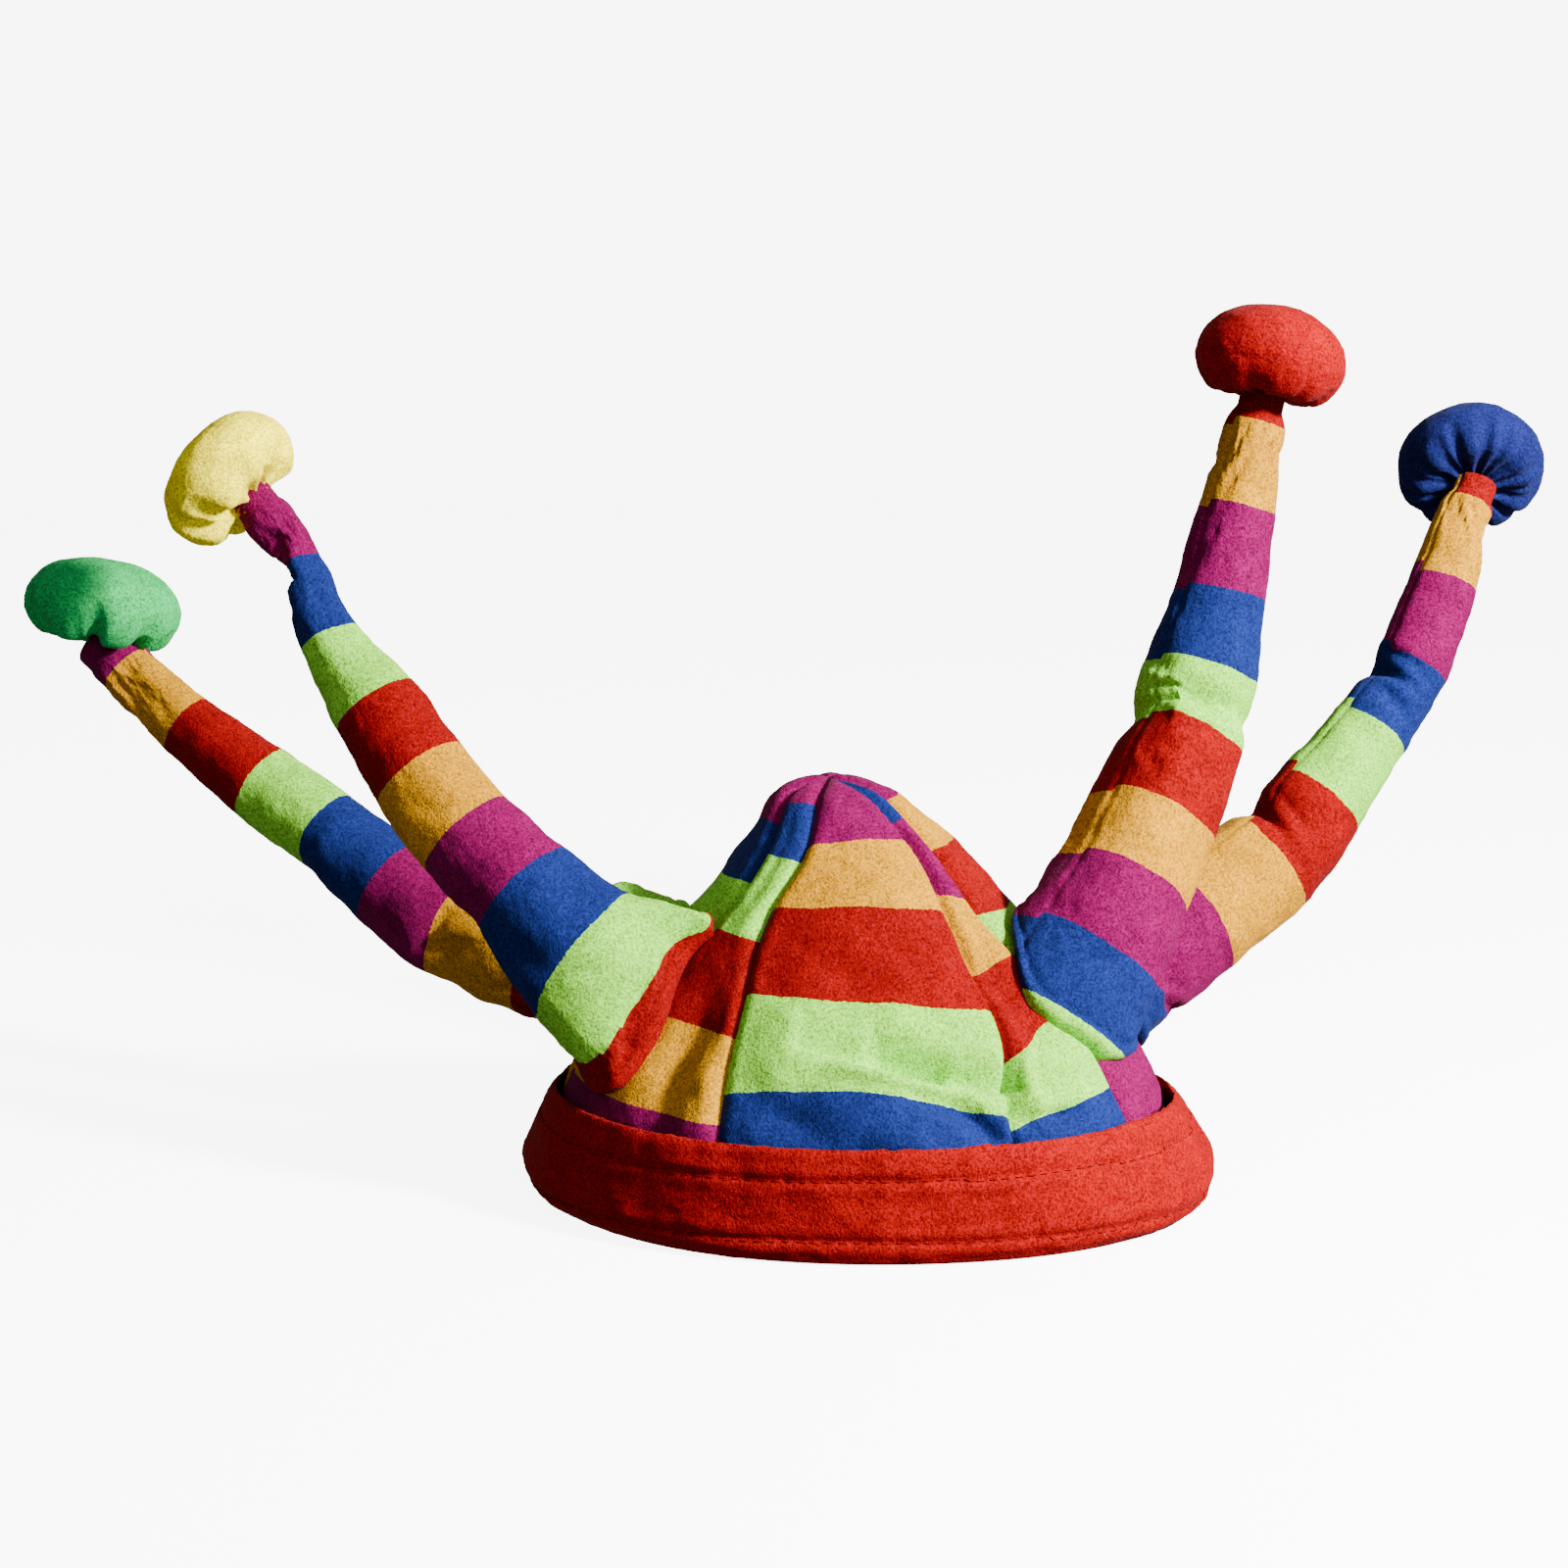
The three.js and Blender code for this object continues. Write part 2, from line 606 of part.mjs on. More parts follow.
const crownBody = solidOf(crownBodyGeometry());
const cuffSpace = solidOf(cuffSpaceGeometry());
for (const horn of horns) {
  const hornSolid = solidOf(hornGeometry(horn, 0)).subtract(crownBody).subtract(cuffSpace);
  const ballSolid = solidOf(ballGeometry(horn)).subtract(solidOf(hornGeometry(horn, seamGap)));
  hat.add(clothMesh("horn_" + horn.place, geometryOf(hornSolid), stripedColour));
  hat.add(clothMesh("ball_" + horn.place, geometryOf(ballSolid), horn.ball.colour));
}

export default hat;
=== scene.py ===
import math

import bpy
import mathutils
import numpy as np
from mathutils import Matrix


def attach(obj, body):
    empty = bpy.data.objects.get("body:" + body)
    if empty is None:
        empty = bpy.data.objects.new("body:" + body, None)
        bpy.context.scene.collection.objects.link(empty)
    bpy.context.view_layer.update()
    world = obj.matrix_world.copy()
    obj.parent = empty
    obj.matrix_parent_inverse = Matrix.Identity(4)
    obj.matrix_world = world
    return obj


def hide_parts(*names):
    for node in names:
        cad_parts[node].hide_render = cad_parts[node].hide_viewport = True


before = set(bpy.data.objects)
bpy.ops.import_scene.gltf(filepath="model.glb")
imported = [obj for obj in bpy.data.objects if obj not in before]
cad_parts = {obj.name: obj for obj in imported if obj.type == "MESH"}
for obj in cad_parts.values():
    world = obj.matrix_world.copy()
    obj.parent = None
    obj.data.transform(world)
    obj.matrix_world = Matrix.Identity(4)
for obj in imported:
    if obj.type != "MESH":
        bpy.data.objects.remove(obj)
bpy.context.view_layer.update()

MM = 0.001  # the tables are in millimetres, as in the part's source

# Crown, cuff, horns and balls, as in the part's source
CROWN_HALF_WIDTH = 101.0
CROWN_HALF_DEPTH = 84.3
CROWN_HEIGHT = 135.0
CROWN_TIP_ASIDE = -11.0
CROWN_TIP_BACK = 9.0
FOOT_TAPER = 0.08
GORE_WALL = 2.0
SEAM_DIP = 0.035
CUFF_HEIGHT = 36.0
CUFF_WALL = 2.6
CUFF_STAND_SIDE = 12.5
CUFF_STAND_FRONT = 7.0
CUFF_LEAF_HEIGHT = 13.0
CUFF_LEAF_INSET = 3.0
CUFF_LEAF_WALL = 1.6
GORE_FOOT = 2.9
BALL_WIDTH = 52.0
BALL_HEIGHT = 35.0
BALL_SINK = 1.5
BALL_NECK = 0.4  # share of the ball's radius that the neck takes
CUFF_TUCK = 7.0  # how far a horn's lower side goes down inside the cuff
STITCH_HIGH = 0.74  # the heights of the cuff's two rows of stitches, as shares of its height
STITCH_LOW = 0.2
STITCH_RADIUS = 0.15  # of the thread
ROLL_WIDTH = 12.0  # how wide the roll at a horn's base is behind
SEWN_OUT = 0.4  # how far outside the crown's face a horn's sewn line stands
SEAT_FADE = 46.0  # how far up a horn the moves that seat its base reach
BASE_TUCK = 7.0  # how far up a horn its base is rolled under
FOLD_GAIN = 1.5  # the horns' folds are this much deeper than their table says
STRIPE_PITCH = 0.19  # from stripe to stripe below a gore's lowest edge, as a share of the crown's height
FOLD_RADIUS = 85.0  # the crown's radius that the gores' folds are measured on

# Scales of the noise in the cloth and thread, per metre
PILE_SCALE = 1150
WARP_SCALE = 130
SHEEN_PATCH_SCALE = 95  # patches of painted sheen, lighter or darker, where the pile lies one way
BROAD_SCALE = 19
FRAY_SCALE = 900  # of the stripes' edges
SWAY_SCALE = 45
PLY_SCALE = 2600

FLOOR_GLOW = 7.0
CAMERA_LENS = 73.83
CAMERA_PLACE = (-0.0256, -1.0307, 0.33335)
CAMERA_DOWN = 11  # degrees that it looks down

# Columns and rows of the meshes
HORN_COLUMNS = 144
HORN_ROW = 1.3  # from row to row of a horn's mesh
BALL_COLUMNS = 144
BALL_ROWS = 84
GORE_COLUMNS = 72
GORE_ROWS = 130
CUFF_COLUMNS = 480
CUFF_ROUND = 132  # points round the cuff's section
HORN_COARSE = (48, 72)  # columns and rows of a horn's copy that is simulated
BALL_COARSE = (36, 72)  # rows and columns of a ball's

# up, wide, deep, lean, puff
CROWN_LEVELS = (
    (0.0, 1.0, 1.0, 0.0, 0.0),
    (0.13, 0.99, 1.01, 0.0, 0.0),
    (0.25, 0.965, 1.02, 0.02, 0.5),
    (0.37, 0.88, 0.95, 0.07, 0.9),
    (0.5, 0.73, 0.81, 0.13, 1.0),
    (0.69, 0.505, 0.58, 0.25, 1.0),
    (0.78, 0.41, 0.47, 0.32, 1.0),
    (0.86, 0.315, 0.365, 0.46, 1.0),
    (0.93, 0.21, 0.245, 0.7, 1.0),
    (0.975, 0.125, 0.145, 0.88, 1.0),
    (1.0, 0.008, 0.01, 1.0, 1.0),
)

# up, then the turn of each seam: back left, left, front left, front right, right, back right
SEAMS = (
    (0.0, -150, -88, -27, 28, 64, 150),
    (0.25, -150, -85, -27, 28, 57, 150),
    (0.52, -148, -66, -32, 36, 60, 148),
    (0.72, -146, -56, -36, 38, 53, 146),
    (0.86, -150, -53, -26, 42, 55, 150),
    (1.0, -150, -60, -18, 42, 64, 152),
)
BACK_LEFT, LEFT, FRONT_LEFT, FRONT_RIGHT, RIGHT, BACK_RIGHT = range(1, 7)

# turn, up, across, along, deep
CROWN_DENTS = (
    (20, 0.38, 9, 0.05, 0.035),
    (33, 0.3, 7, 0.07, 0.06),
    (46, 0.52, 7, 0.12, 0.05),
    (-42, 0.42, 7, 0.14, 0.045),
    (180, 0.4, 22, 0.08, 0.04),
)

# Each gore: its two seams, and the edges between its stripes as rows of the stripe number and the height
# at its left seam, in its middle and at its right seam
GORES = {
    "front": (FRONT_LEFT, FRONT_RIGHT, (
        (3, -0.02, -0.01, -0.08), (2, 0.16, 0.18, 0.09), (1, 0.345, 0.372, 0.29),
        (0, 0.548, 0.555, 0.508), (-1, 0.731, 0.746, 0.721), (-2, 0.862, 0.884, 0.869),
        (-3, 1.02, 1.02, 1.02),
    )),
    "front_right": (FRONT_RIGHT, RIGHT, (
        (3, -0.1, -0.09, -0.08), (2, 0.09, 0.11, 0.12), (1, 0.262, 0.302, 0.315),
        (0, 0.41, 0.46, 0.48), (-1, 0.592, 0.603, 0.615), (-2, 0.762, 0.745, 0.73),
        (-3, 0.914, 0.914, 0.914), (-4, 1.03, 1.03, 1.03),
    )),
    "back_right": (RIGHT, BACK_RIGHT, (
        (4, -0.02, -0.02, -0.02), (3, 0.18, 0.18, 0.18), (2, 0.378, 0.36, 0.35),
        (1, 0.54, 0.52, 0.51), (0, 0.7, 0.68, 0.67), (-1, 0.845, 0.84, 0.83), (-2, 0.955, 0.95, 0.95),
        (-3, 1.04, 1.04, 1.04),
    )),
    "back": (BACK_RIGHT, BACK_LEFT, (
        (4, -0.03, -0.03, -0.03), (3, 0.17, 0.17, 0.17), (2, 0.36, 0.36, 0.36), (1, 0.55, 0.55, 0.55),
        (0, 0.73, 0.73, 0.73), (-1, 0.87, 0.87, 0.87), (-2, 0.97, 0.97, 0.97), (-3, 1.05, 1.05, 1.05),
    )),
    "back_left": (BACK_LEFT, LEFT, (
        (2, 0.0, 0.0, 0.0), (3, 0.2, 0.2, 0.2), (4, 0.39, 0.39, 0.39), (5, 0.58, 0.58, 0.58),
        (6, 0.765, 0.765, 0.769), (7, 0.9, 0.9, 0.9), (8, 1.02, 1.02, 1.02),
    )),
    "front_left": (LEFT, FRONT_LEFT, (
        (2, 0.09, 0.09, 0.09), (3, 0.29, 0.288, 0.278), (4, 0.48, 0.476, 0.46),
        (5, 0.668, 0.665, 0.66), (6, 0.838, 0.834, 0.832), (7, 0.945, 0.95, 0.955),
        (8, 1.04, 1.04, 1.04),
    )),
}

# up, side, front
CUFF_ROWS = (
    (0.0, 0.32, 0.7),
    (0.1, 0.8, 0.95),
    (0.28, 1.0, 1.0),
    (0.55, 0.72, 0.97),
    (0.83, 0.36, 0.85),
    (0.97, 0.18, 0.76),
    (1.0, 0.16, 0.75),
)

# turn, across, out, drop
CUFF_BULGES = (
    (52, 34, 0.055, 0.0),
    (-65, 30, -0.025, 0.0),
    (122, 46, 0.0, 0.22),
    (-125, 42, 0.0, 0.12),
)
CUFF_BULGE_TOP_SHARE = 0.4

# Rows of a horn: stripe, out, back, up, wide, deep. Creases: stripe, along, facing, across, pinch.
# A ball: out, back, up, shift, wide, tall.
HORNS = {
    "front_left": {
        "side": -1, "root": (-63.5, 0.505, 1.0), "span": (132.6, 75.8, 148.8), "width": 66.0,
        "rows": (
            (0, 0, 0, 0, 1, 0.48), (1, 0.16, 0.06, 0.09, 0.74, 0.8), (2, 0.3, 0.19, 0.21, 0.6, 0.9),
            (3, 0.44, 0.34, 0.32, 0.54, 0.92), (4, 0.56, 0.49, 0.44, 0.51, 0.92),
            (5, 0.68, 0.65, 0.58, 0.45, 0.92), (6, 0.8, 0.78, 0.72, 0.31, 0.92),
            (7, 0.89, 0.91, 0.88, 0.25, 0.92), (8, 1, 1, 1, 0.25, 0.92),
        ),
        "creases": ((7, 0.25, 20, 70, 0.14),),
        "ball": (0.76, 0.2, 0.6, -0.03, 0.98, 0.96),
        # the sewn line of its front half from the top down: turn, height, and the width of the roll beside it
        "sewn": (
            (-47, 0.665, 2.0), (-54, 0.624, 6.0), (-55.5, 0.575, 10.0), (-49.5, 0.479, 13.0),
            (-48, 0.393, 15.0), (-50, 0.308, 16.0), (-58, 0.26, 16.0),
        ),
        "first": 0, "step": 1,
    },
    "back_left": {
        "side": -1, "root": (-111.5, 0.472, 10.5), "span": (187.8, 89.3, 92.5), "width": 56.0,
        "rows": (
            (0, 0, 0, 0, 1, 0.72), (1, 0.15, 0.095, 0.015, 0.75, 0.84), (2, 0.3, 0.22, 0.08, 0.66, 0.9),
            (3, 0.42, 0.365, 0.215, 0.59, 0.92), (4, 0.545, 0.51, 0.39, 0.54, 0.92),
            (5, 0.67, 0.655, 0.54, 0.52, 0.92), (6, 0.82, 0.81, 0.735, 0.42, 0.92),
            (7, 0.95, 0.94, 0.92, 0.36, 0.92), (7.4, 1, 1, 1, 0.37, 0.92),
        ),
        "creases": ((1.9, 0.3, 300, 50, 0.12),),
        "ball": (-0.17, 0.15, 0.97, 0.1, 1.07, 1.03),
        "first": 5, "step": -1,
    },
    "front_right": {
        "side": 1, "root": (59.7, 0.424, -15.0), "span": (73.7, 76.2, 192.9), "width": 55.0,
        "rows": (
            (0, 0, 0, 0, 1, 0.6), (1, 0.165, 0.155, 0.1, 0.95, 0.74), (2, 0.34, 0.315, 0.205, 0.86, 0.88),
            (3, 0.485, 0.475, 0.31, 0.81, 0.92), (4, 0.64, 0.62, 0.44, 0.76, 0.92),
            (5, 0.735, 0.75, 0.545, 0.71, 0.92), (6, 0.825, 0.84, 0.675, 0.56, 0.92),
            (7, 0.9, 0.91, 0.82, 0.46, 0.92), (8, 0.975, 0.98, 0.96, 0.37, 0.92),
            (8.3, 1, 1, 1, 0.32, 0.92),
        ),
        "creases": ((4.1, 0.25, 175, 45, 0.08), (4.5, 0.2, 290, 60, 0.09)),
        "ball": (0.2, 0.12, 0.97, 0.0, 0.97, 1.02),
        "first": 1, "step": 1,
    },
    "back_right": {
        "side": 1, "root": (111.5, 0.349, -10.5), "span": (150.2, 103.8, 164.5), "width": 48.0,
        "rows": (
            (0, 0, 0, 0, 1, 0.8), (1, 0.14, 0.105, 0.09, 0.92, 0.88), (2, 0.3, 0.235, 0.185, 0.87, 0.92),
            (3, 0.475, 0.37, 0.285, 0.8, 0.92), (4, 0.6, 0.485, 0.41, 0.7, 0.92),
            (5, 0.73, 0.605, 0.545, 0.58, 0.92), (6, 0.83, 0.705, 0.675, 0.56, 0.92),
            (7, 0.915, 0.835, 0.845, 0.5, 0.92), (8, 1, 1, 1, 0.37, 0.92),
        ),
        "creases": ((3.2, 0.22, 180, 45, 0.12), (5.6, 0.2, 180, 45, 0.14)),
        "ball": (0.05, 0.8, 0.58, 0.03, 1.02, 1.0),
        "first": 1, "step": 1,
    },
}

# Colours of the velour, linear RGB
LIME = (0.17, 0.46, 0.03, 1)
BLUE = (0.0055, 0.0125, 0.083, 1)
MAGENTA = (0.115, 0.0002, 0.04, 1)
GOLD = (0.38, 0.162, 0.0002, 1)
RED = (0.15, 0.0001, 0.0002, 1)
CUFF_RED = (0.19, 0.0002, 0.0004, 1)
THREAD_RED = (0.1, 0.0003, 0.0004, 1)

# Balls: slot, colour, how many pleats run from the neck, how deep they are as a share of the radius, and how
# far they reach as a share of the way to the top
BALLS = {
    "front_left": ("yellow_velour", (0.85, 0.7, 0.0004, 1), 9, 0.12, 0.6),
    "back_left": ("green_velour", (0.01, 0.3, 0.065, 1), 14, 0.12, 0.45),
    "front_right": ("red_velour", (0.19, 0.0002, 0.0008, 1), 13, 0.055, 0.42),
    "back_right": ("blue_velour", (0.006, 0.009, 0.065, 1), 17, 0.1, 0.55),
}


def read(rows, at, column):
    """A column of a table between its rows, on a smooth curve through them."""
    rows = np.asarray(rows, float)
    keys, values = rows[:, 0], rows[:, column]
    count = len(keys)
    low = np.maximum(np.arange(count) - 1, 0)
    high = np.minimum(np.arange(count) + 1, count - 1)
    slopes = (values[high] - values[low]) / (keys[high] - keys[low])
    at = np.asarray(at, float)
    i = np.clip(np.searchsorted(keys, at) - 1, 0, count - 2)
    span = keys[i + 1] - keys[i]
    t = (at - keys[i]) / span
    return (
        values[i] * (1 + 2 * t) * (1 - t) ** 2
        + values[i + 1] * t * t * (3 - 2 * t)
        + span * slopes[i] * t * (1 - t) ** 2
        + span * slopes[i + 1] * t * t * (t - 1)
    )


def bump(x):
    return np.exp(-np.square(x))


def wrapped(degrees):
    return degrees - 360 * np.round(degrees / 360)


def unit(v):
    return v / np.maximum(np.linalg.norm(v, axis=-1, keepdims=True), 1e-12)


def ease(x):
    return x * x * (3 - 2 * x)


def smoothed(row, times):
    """A closed row of numbers, smoothed a number of times."""
    kernel = np.array([1, 4, 6, 4, 1]) / 16
    for _ in range(times):
        row = np.convolve(np.concatenate([row[-2:], row, row[:2]]), kernel, "valid")
    return row


def taper(angle, up):
    return 1 + FOOT_TAPER * (1 - up) * np.cos(angle)


def crown_form(turn, up, radius=1.0):
    """A point of the crown's plain form."""
    angle = np.radians(turn)
    lean = read(CROWN_LEVELS, up, 3)
    wide = CROWN_HALF_WIDTH * read(CROWN_LEVELS, up, 1) * radius
    deep = CROWN_HALF_DEPTH * read(CROWN_LEVELS, up, 2) * radius
    return np.stack(
        np.broadcast_arrays(
            CROWN_TIP_ASIDE * lean + wide * np.sin(angle) * taper(angle, up),
            CROWN_TIP_BACK * lean - deep * np.cos(angle),
            GORE_FOOT + up * (CROWN_HEIGHT - GORE_FOOT),
        ),
        axis=-1,
    )


def crown_normal(turn, up):
    """The way out of the crown's plain form at a turn and height."""
    low = np.maximum(up - 0.004, 0)
    high = np.minimum(up + 0.004, 1)
    around = crown_form(turn + 1, up) - crown_form(turn - 1, up)
    upward = crown_form(turn, high) - crown_form(turn, low)
    return unit(np.cross(around, upward))


def crown_dents(turn, up):
    total = 0
    for at, height, across, along, deep in CROWN_DENTS:
        total = total + deep * bump(wrapped(turn - at) / across) * bump((up - height) / along)
    return total


def seam_turns(up, gore):
    start = read(SEAMS, up, gore[0])
    end = read(SEAMS, up, gore[1])
    return start, np.where(end < start, end + 360, end)


def crown_place(points):
    """Where points lie on the crown: turn, height and radius, where radius 1 is its plain form."""
    up = np.clip((points[..., 2] - GORE_FOOT) / (CROWN_HEIGHT - GORE_FOOT), 0, 1)
    lean = read(CROWN_LEVELS, up, 3)
    x = (points[..., 0] - CROWN_TIP_ASIDE * lean) / (CROWN_HALF_WIDTH * read(CROWN_LEVELS, up, 1))
    y = -(points[..., 1] - CROWN_TIP_BACK * lean) / (CROWN_HALF_DEPTH * read(CROWN_LEVELS, up, 2))
    angle = np.arctan2(x, y)
    for _ in range(8):
        angle = np.arctan2(x / taper(angle, up), y)
    return np.degrees(angle), up, np.hypot(x / taper(angle, up), y)


def crown_valley(turn, up):
    """How far a place on the crown lies in the valley of a seam, from 0 to 1."""
    nearest = 1.0
    for gore in GORES.values():
        start, end = seam_turns(up, gore)
        share = np.clip(((turn - start) % 360) / (end - start), 0, 1)
        nearest = np.minimum(nearest, np.sin(np.pi * share) + ((turn - start) % 360 > end - start) * 9)
    return read(CROWN_LEVELS, up, 4) * (1 - np.clip(nearest, 0, 1)) ** 2


def crown_surface(turn, up, out=0.0):
    """A point of the crown's outer face at a turn and height, moved out by a distance."""
    radius = 1 - SEAM_DIP * crown_valley(turn, up) - crown_dents(turn, up)
    return crown_form(turn, up, radius) + crown_normal(turn, up) * np.asarray(out)[..., None]


def oval(half_width, half_depth, inset, turn, height):
    angle = np.radians(turn)
    normal = unit(np.stack([np.sin(angle) / half_width, -np.cos(angle) / half_depth, 0 * angle], -1))
    x = half_width * np.sin(angle) * taper(angle, 0)
    y = -half_depth * np.cos(angle)
    return np.stack(np.broadcast_arrays(x, y, height), -1) - normal * np.asarray(inset)[..., None]


def cuff_level(share, turn):
    drop = 0
    for at, across, _, down in CUFF_BULGES:
        drop = drop + down * bump(wrapped(turn - at) / across)
    return share * CUFF_HEIGHT * (1 - drop * share)


def cuff_point(share, inset, turn, height):
    """A point of the cuff's outer face at a share of its height, moved in by an inset."""
    stand = 0
    for at, across, out, _ in CUFF_BULGES:
        stand = stand + out * bump(wrapped(turn - at) / across)
    stand = stand * (1 - (1 - CUFF_BULGE_TOP_SHARE) * share)
    return oval(
        CROWN_HALF_WIDTH + CUFF_STAND_SIDE * read(CUFF_ROWS, share, 1),
        CROWN_HALF_DEPTH + CUFF_STAND_FRONT * read(CUFF_ROWS, share, 2),
        inset - stand * CROWN_HALF_WIDTH,
        turn,
        height,
    )


def waves(seed, points, size, octaves=3):
    """Smooth noise between about -1 and 1 at points in millimetres, from a few turned sine fields."""
    random = np.random.default_rng(seed)
    total = 0
    strength = 1.0
    for _ in range(octaves):
        layer = 0
        for _ in range(6):
            direction = unit(random.normal(size=3))
            bend = unit(random.normal(size=3))
            phase, other = random.uniform(0, 2 * np.pi, 2)
            reach = 2 * np.pi / size * random.uniform(0.7, 1.4)
            twist = 1.3 * np.sin(points @ bend * reach * 0.6 + other)
            layer = layer + np.sin(points @ direction * reach + twist + phase)
        total = total + strength * layer / 2.6
        size = size / 2
        strength = strength / 2
    return total / 1.75


def horn_root(horn):
    turn, up, stand = horn["root"]
    angle = math.radians(turn)
    return crown_form(turn, up) + stand * np.array([math.sin(angle), -math.cos(angle), 0])


def horn_middle(horn, stripe):
    reach, setback, rise = horn["span"]
    rows = horn["rows"]
    return horn_root(horn) + np.stack(
        [
            horn["side"] * reach * read(rows, stripe, 1),
            setback * read(rows, stripe, 2),
            rise * read(rows, stripe, 3),
        ],
        -1,
    )


def horn_frame(horn, stripe):
    """The direction of a horn at a stripe count, its lower side and its far side."""
    last = horn["rows"][-1][0]
    ahead = horn_middle(horn, np.minimum(stripe + 0.1, last))
    behind = horn_middle(horn, np.maximum(stripe - 0.1, 0))
    along = unit(ahead - behind)
    across = unit(np.cross(along, [0, 1, 0]))
    through = np.cross(across, along)
    low = across * -np.sign(across[..., 2:3])
    return along, low, through


def node(tree, kind, **values):
    """A new shader node with some of its properties set."""
    made = tree.nodes.new(kind)
    for key, value in values.items():
        setattr(made, key, value)
    return made


def put(tree, target, value):
    """Sets a socket to a constant, or links it to another socket."""
    if isinstance(value, bpy.types.NodeSocket):
        tree.links.new(value, target)
    else:
        target.default_value = value


def maths(tree, operation, *values):
    made = node(tree, "ShaderNodeMath", operation=operation)
    for socket, value in zip(made.inputs, values):
        put(tree, socket, value)
    return made.outputs[0]


def blend(tree, kind, factor, first, second):
    """Two colours mixed in one of the mix node's ways."""
    made = node(tree, "ShaderNodeMixRGB", blend_type=kind)
    for socket, value in zip(made.inputs, (factor, first, second)):
        put(tree, socket, value)
    return made.outputs[0]


def set_inputs(made, **values):
    """Sets a node's sockets to constants. In their names, _ stands for a space."""
    for key, value in values.items():
        made.inputs[key.replace("_", " ")].default_value = value


def new_material(name):
    """A new material, its node tree, its surface shader and its object coordinates."""
    material = bpy.data.materials.new(name)
    material.use_nodes = True
    tree = material.node_tree
    return material, tree, tree.nodes["Principled BSDF"], node(tree, "ShaderNodeTexCoord").outputs["Object"]


def emboss(tree, shader, height, strength, distance):
    """A fine bump on a shader's surface."""
    raised = node(tree, "ShaderNodeBump")
    set_inputs(raised, Strength=strength, Distance=distance)
    put(tree, raised.inputs["Height"], height)
    put(tree, shader.inputs["Normal"], raised.outputs[0])


def centred(tree, value):
    return maths(tree, "SUBTRACT", value, 0.5)


def noise(tree, vector, scale, detail=2.0, distortion=0.0, roughness=0.5, output="Fac"):
    made = node(tree, "ShaderNodeTexNoise")
    put(tree, made.inputs["Vector"], vector)
    set_inputs(made, Scale=scale, Detail=detail, Distortion=distortion, Roughness=roughness)
    return made.outputs[output]


def mapped(tree, value, low, high, to_low, to_high):
    """A value brought from one range to another, and held within it."""
    made = node(tree, "ShaderNodeMapRange")
    put(tree, made.inputs["Value"], value)
    set_inputs(made, From_Min=low, From_Max=high, To_Min=to_low, To_Max=to_high)
    return made.outputs["Result"]


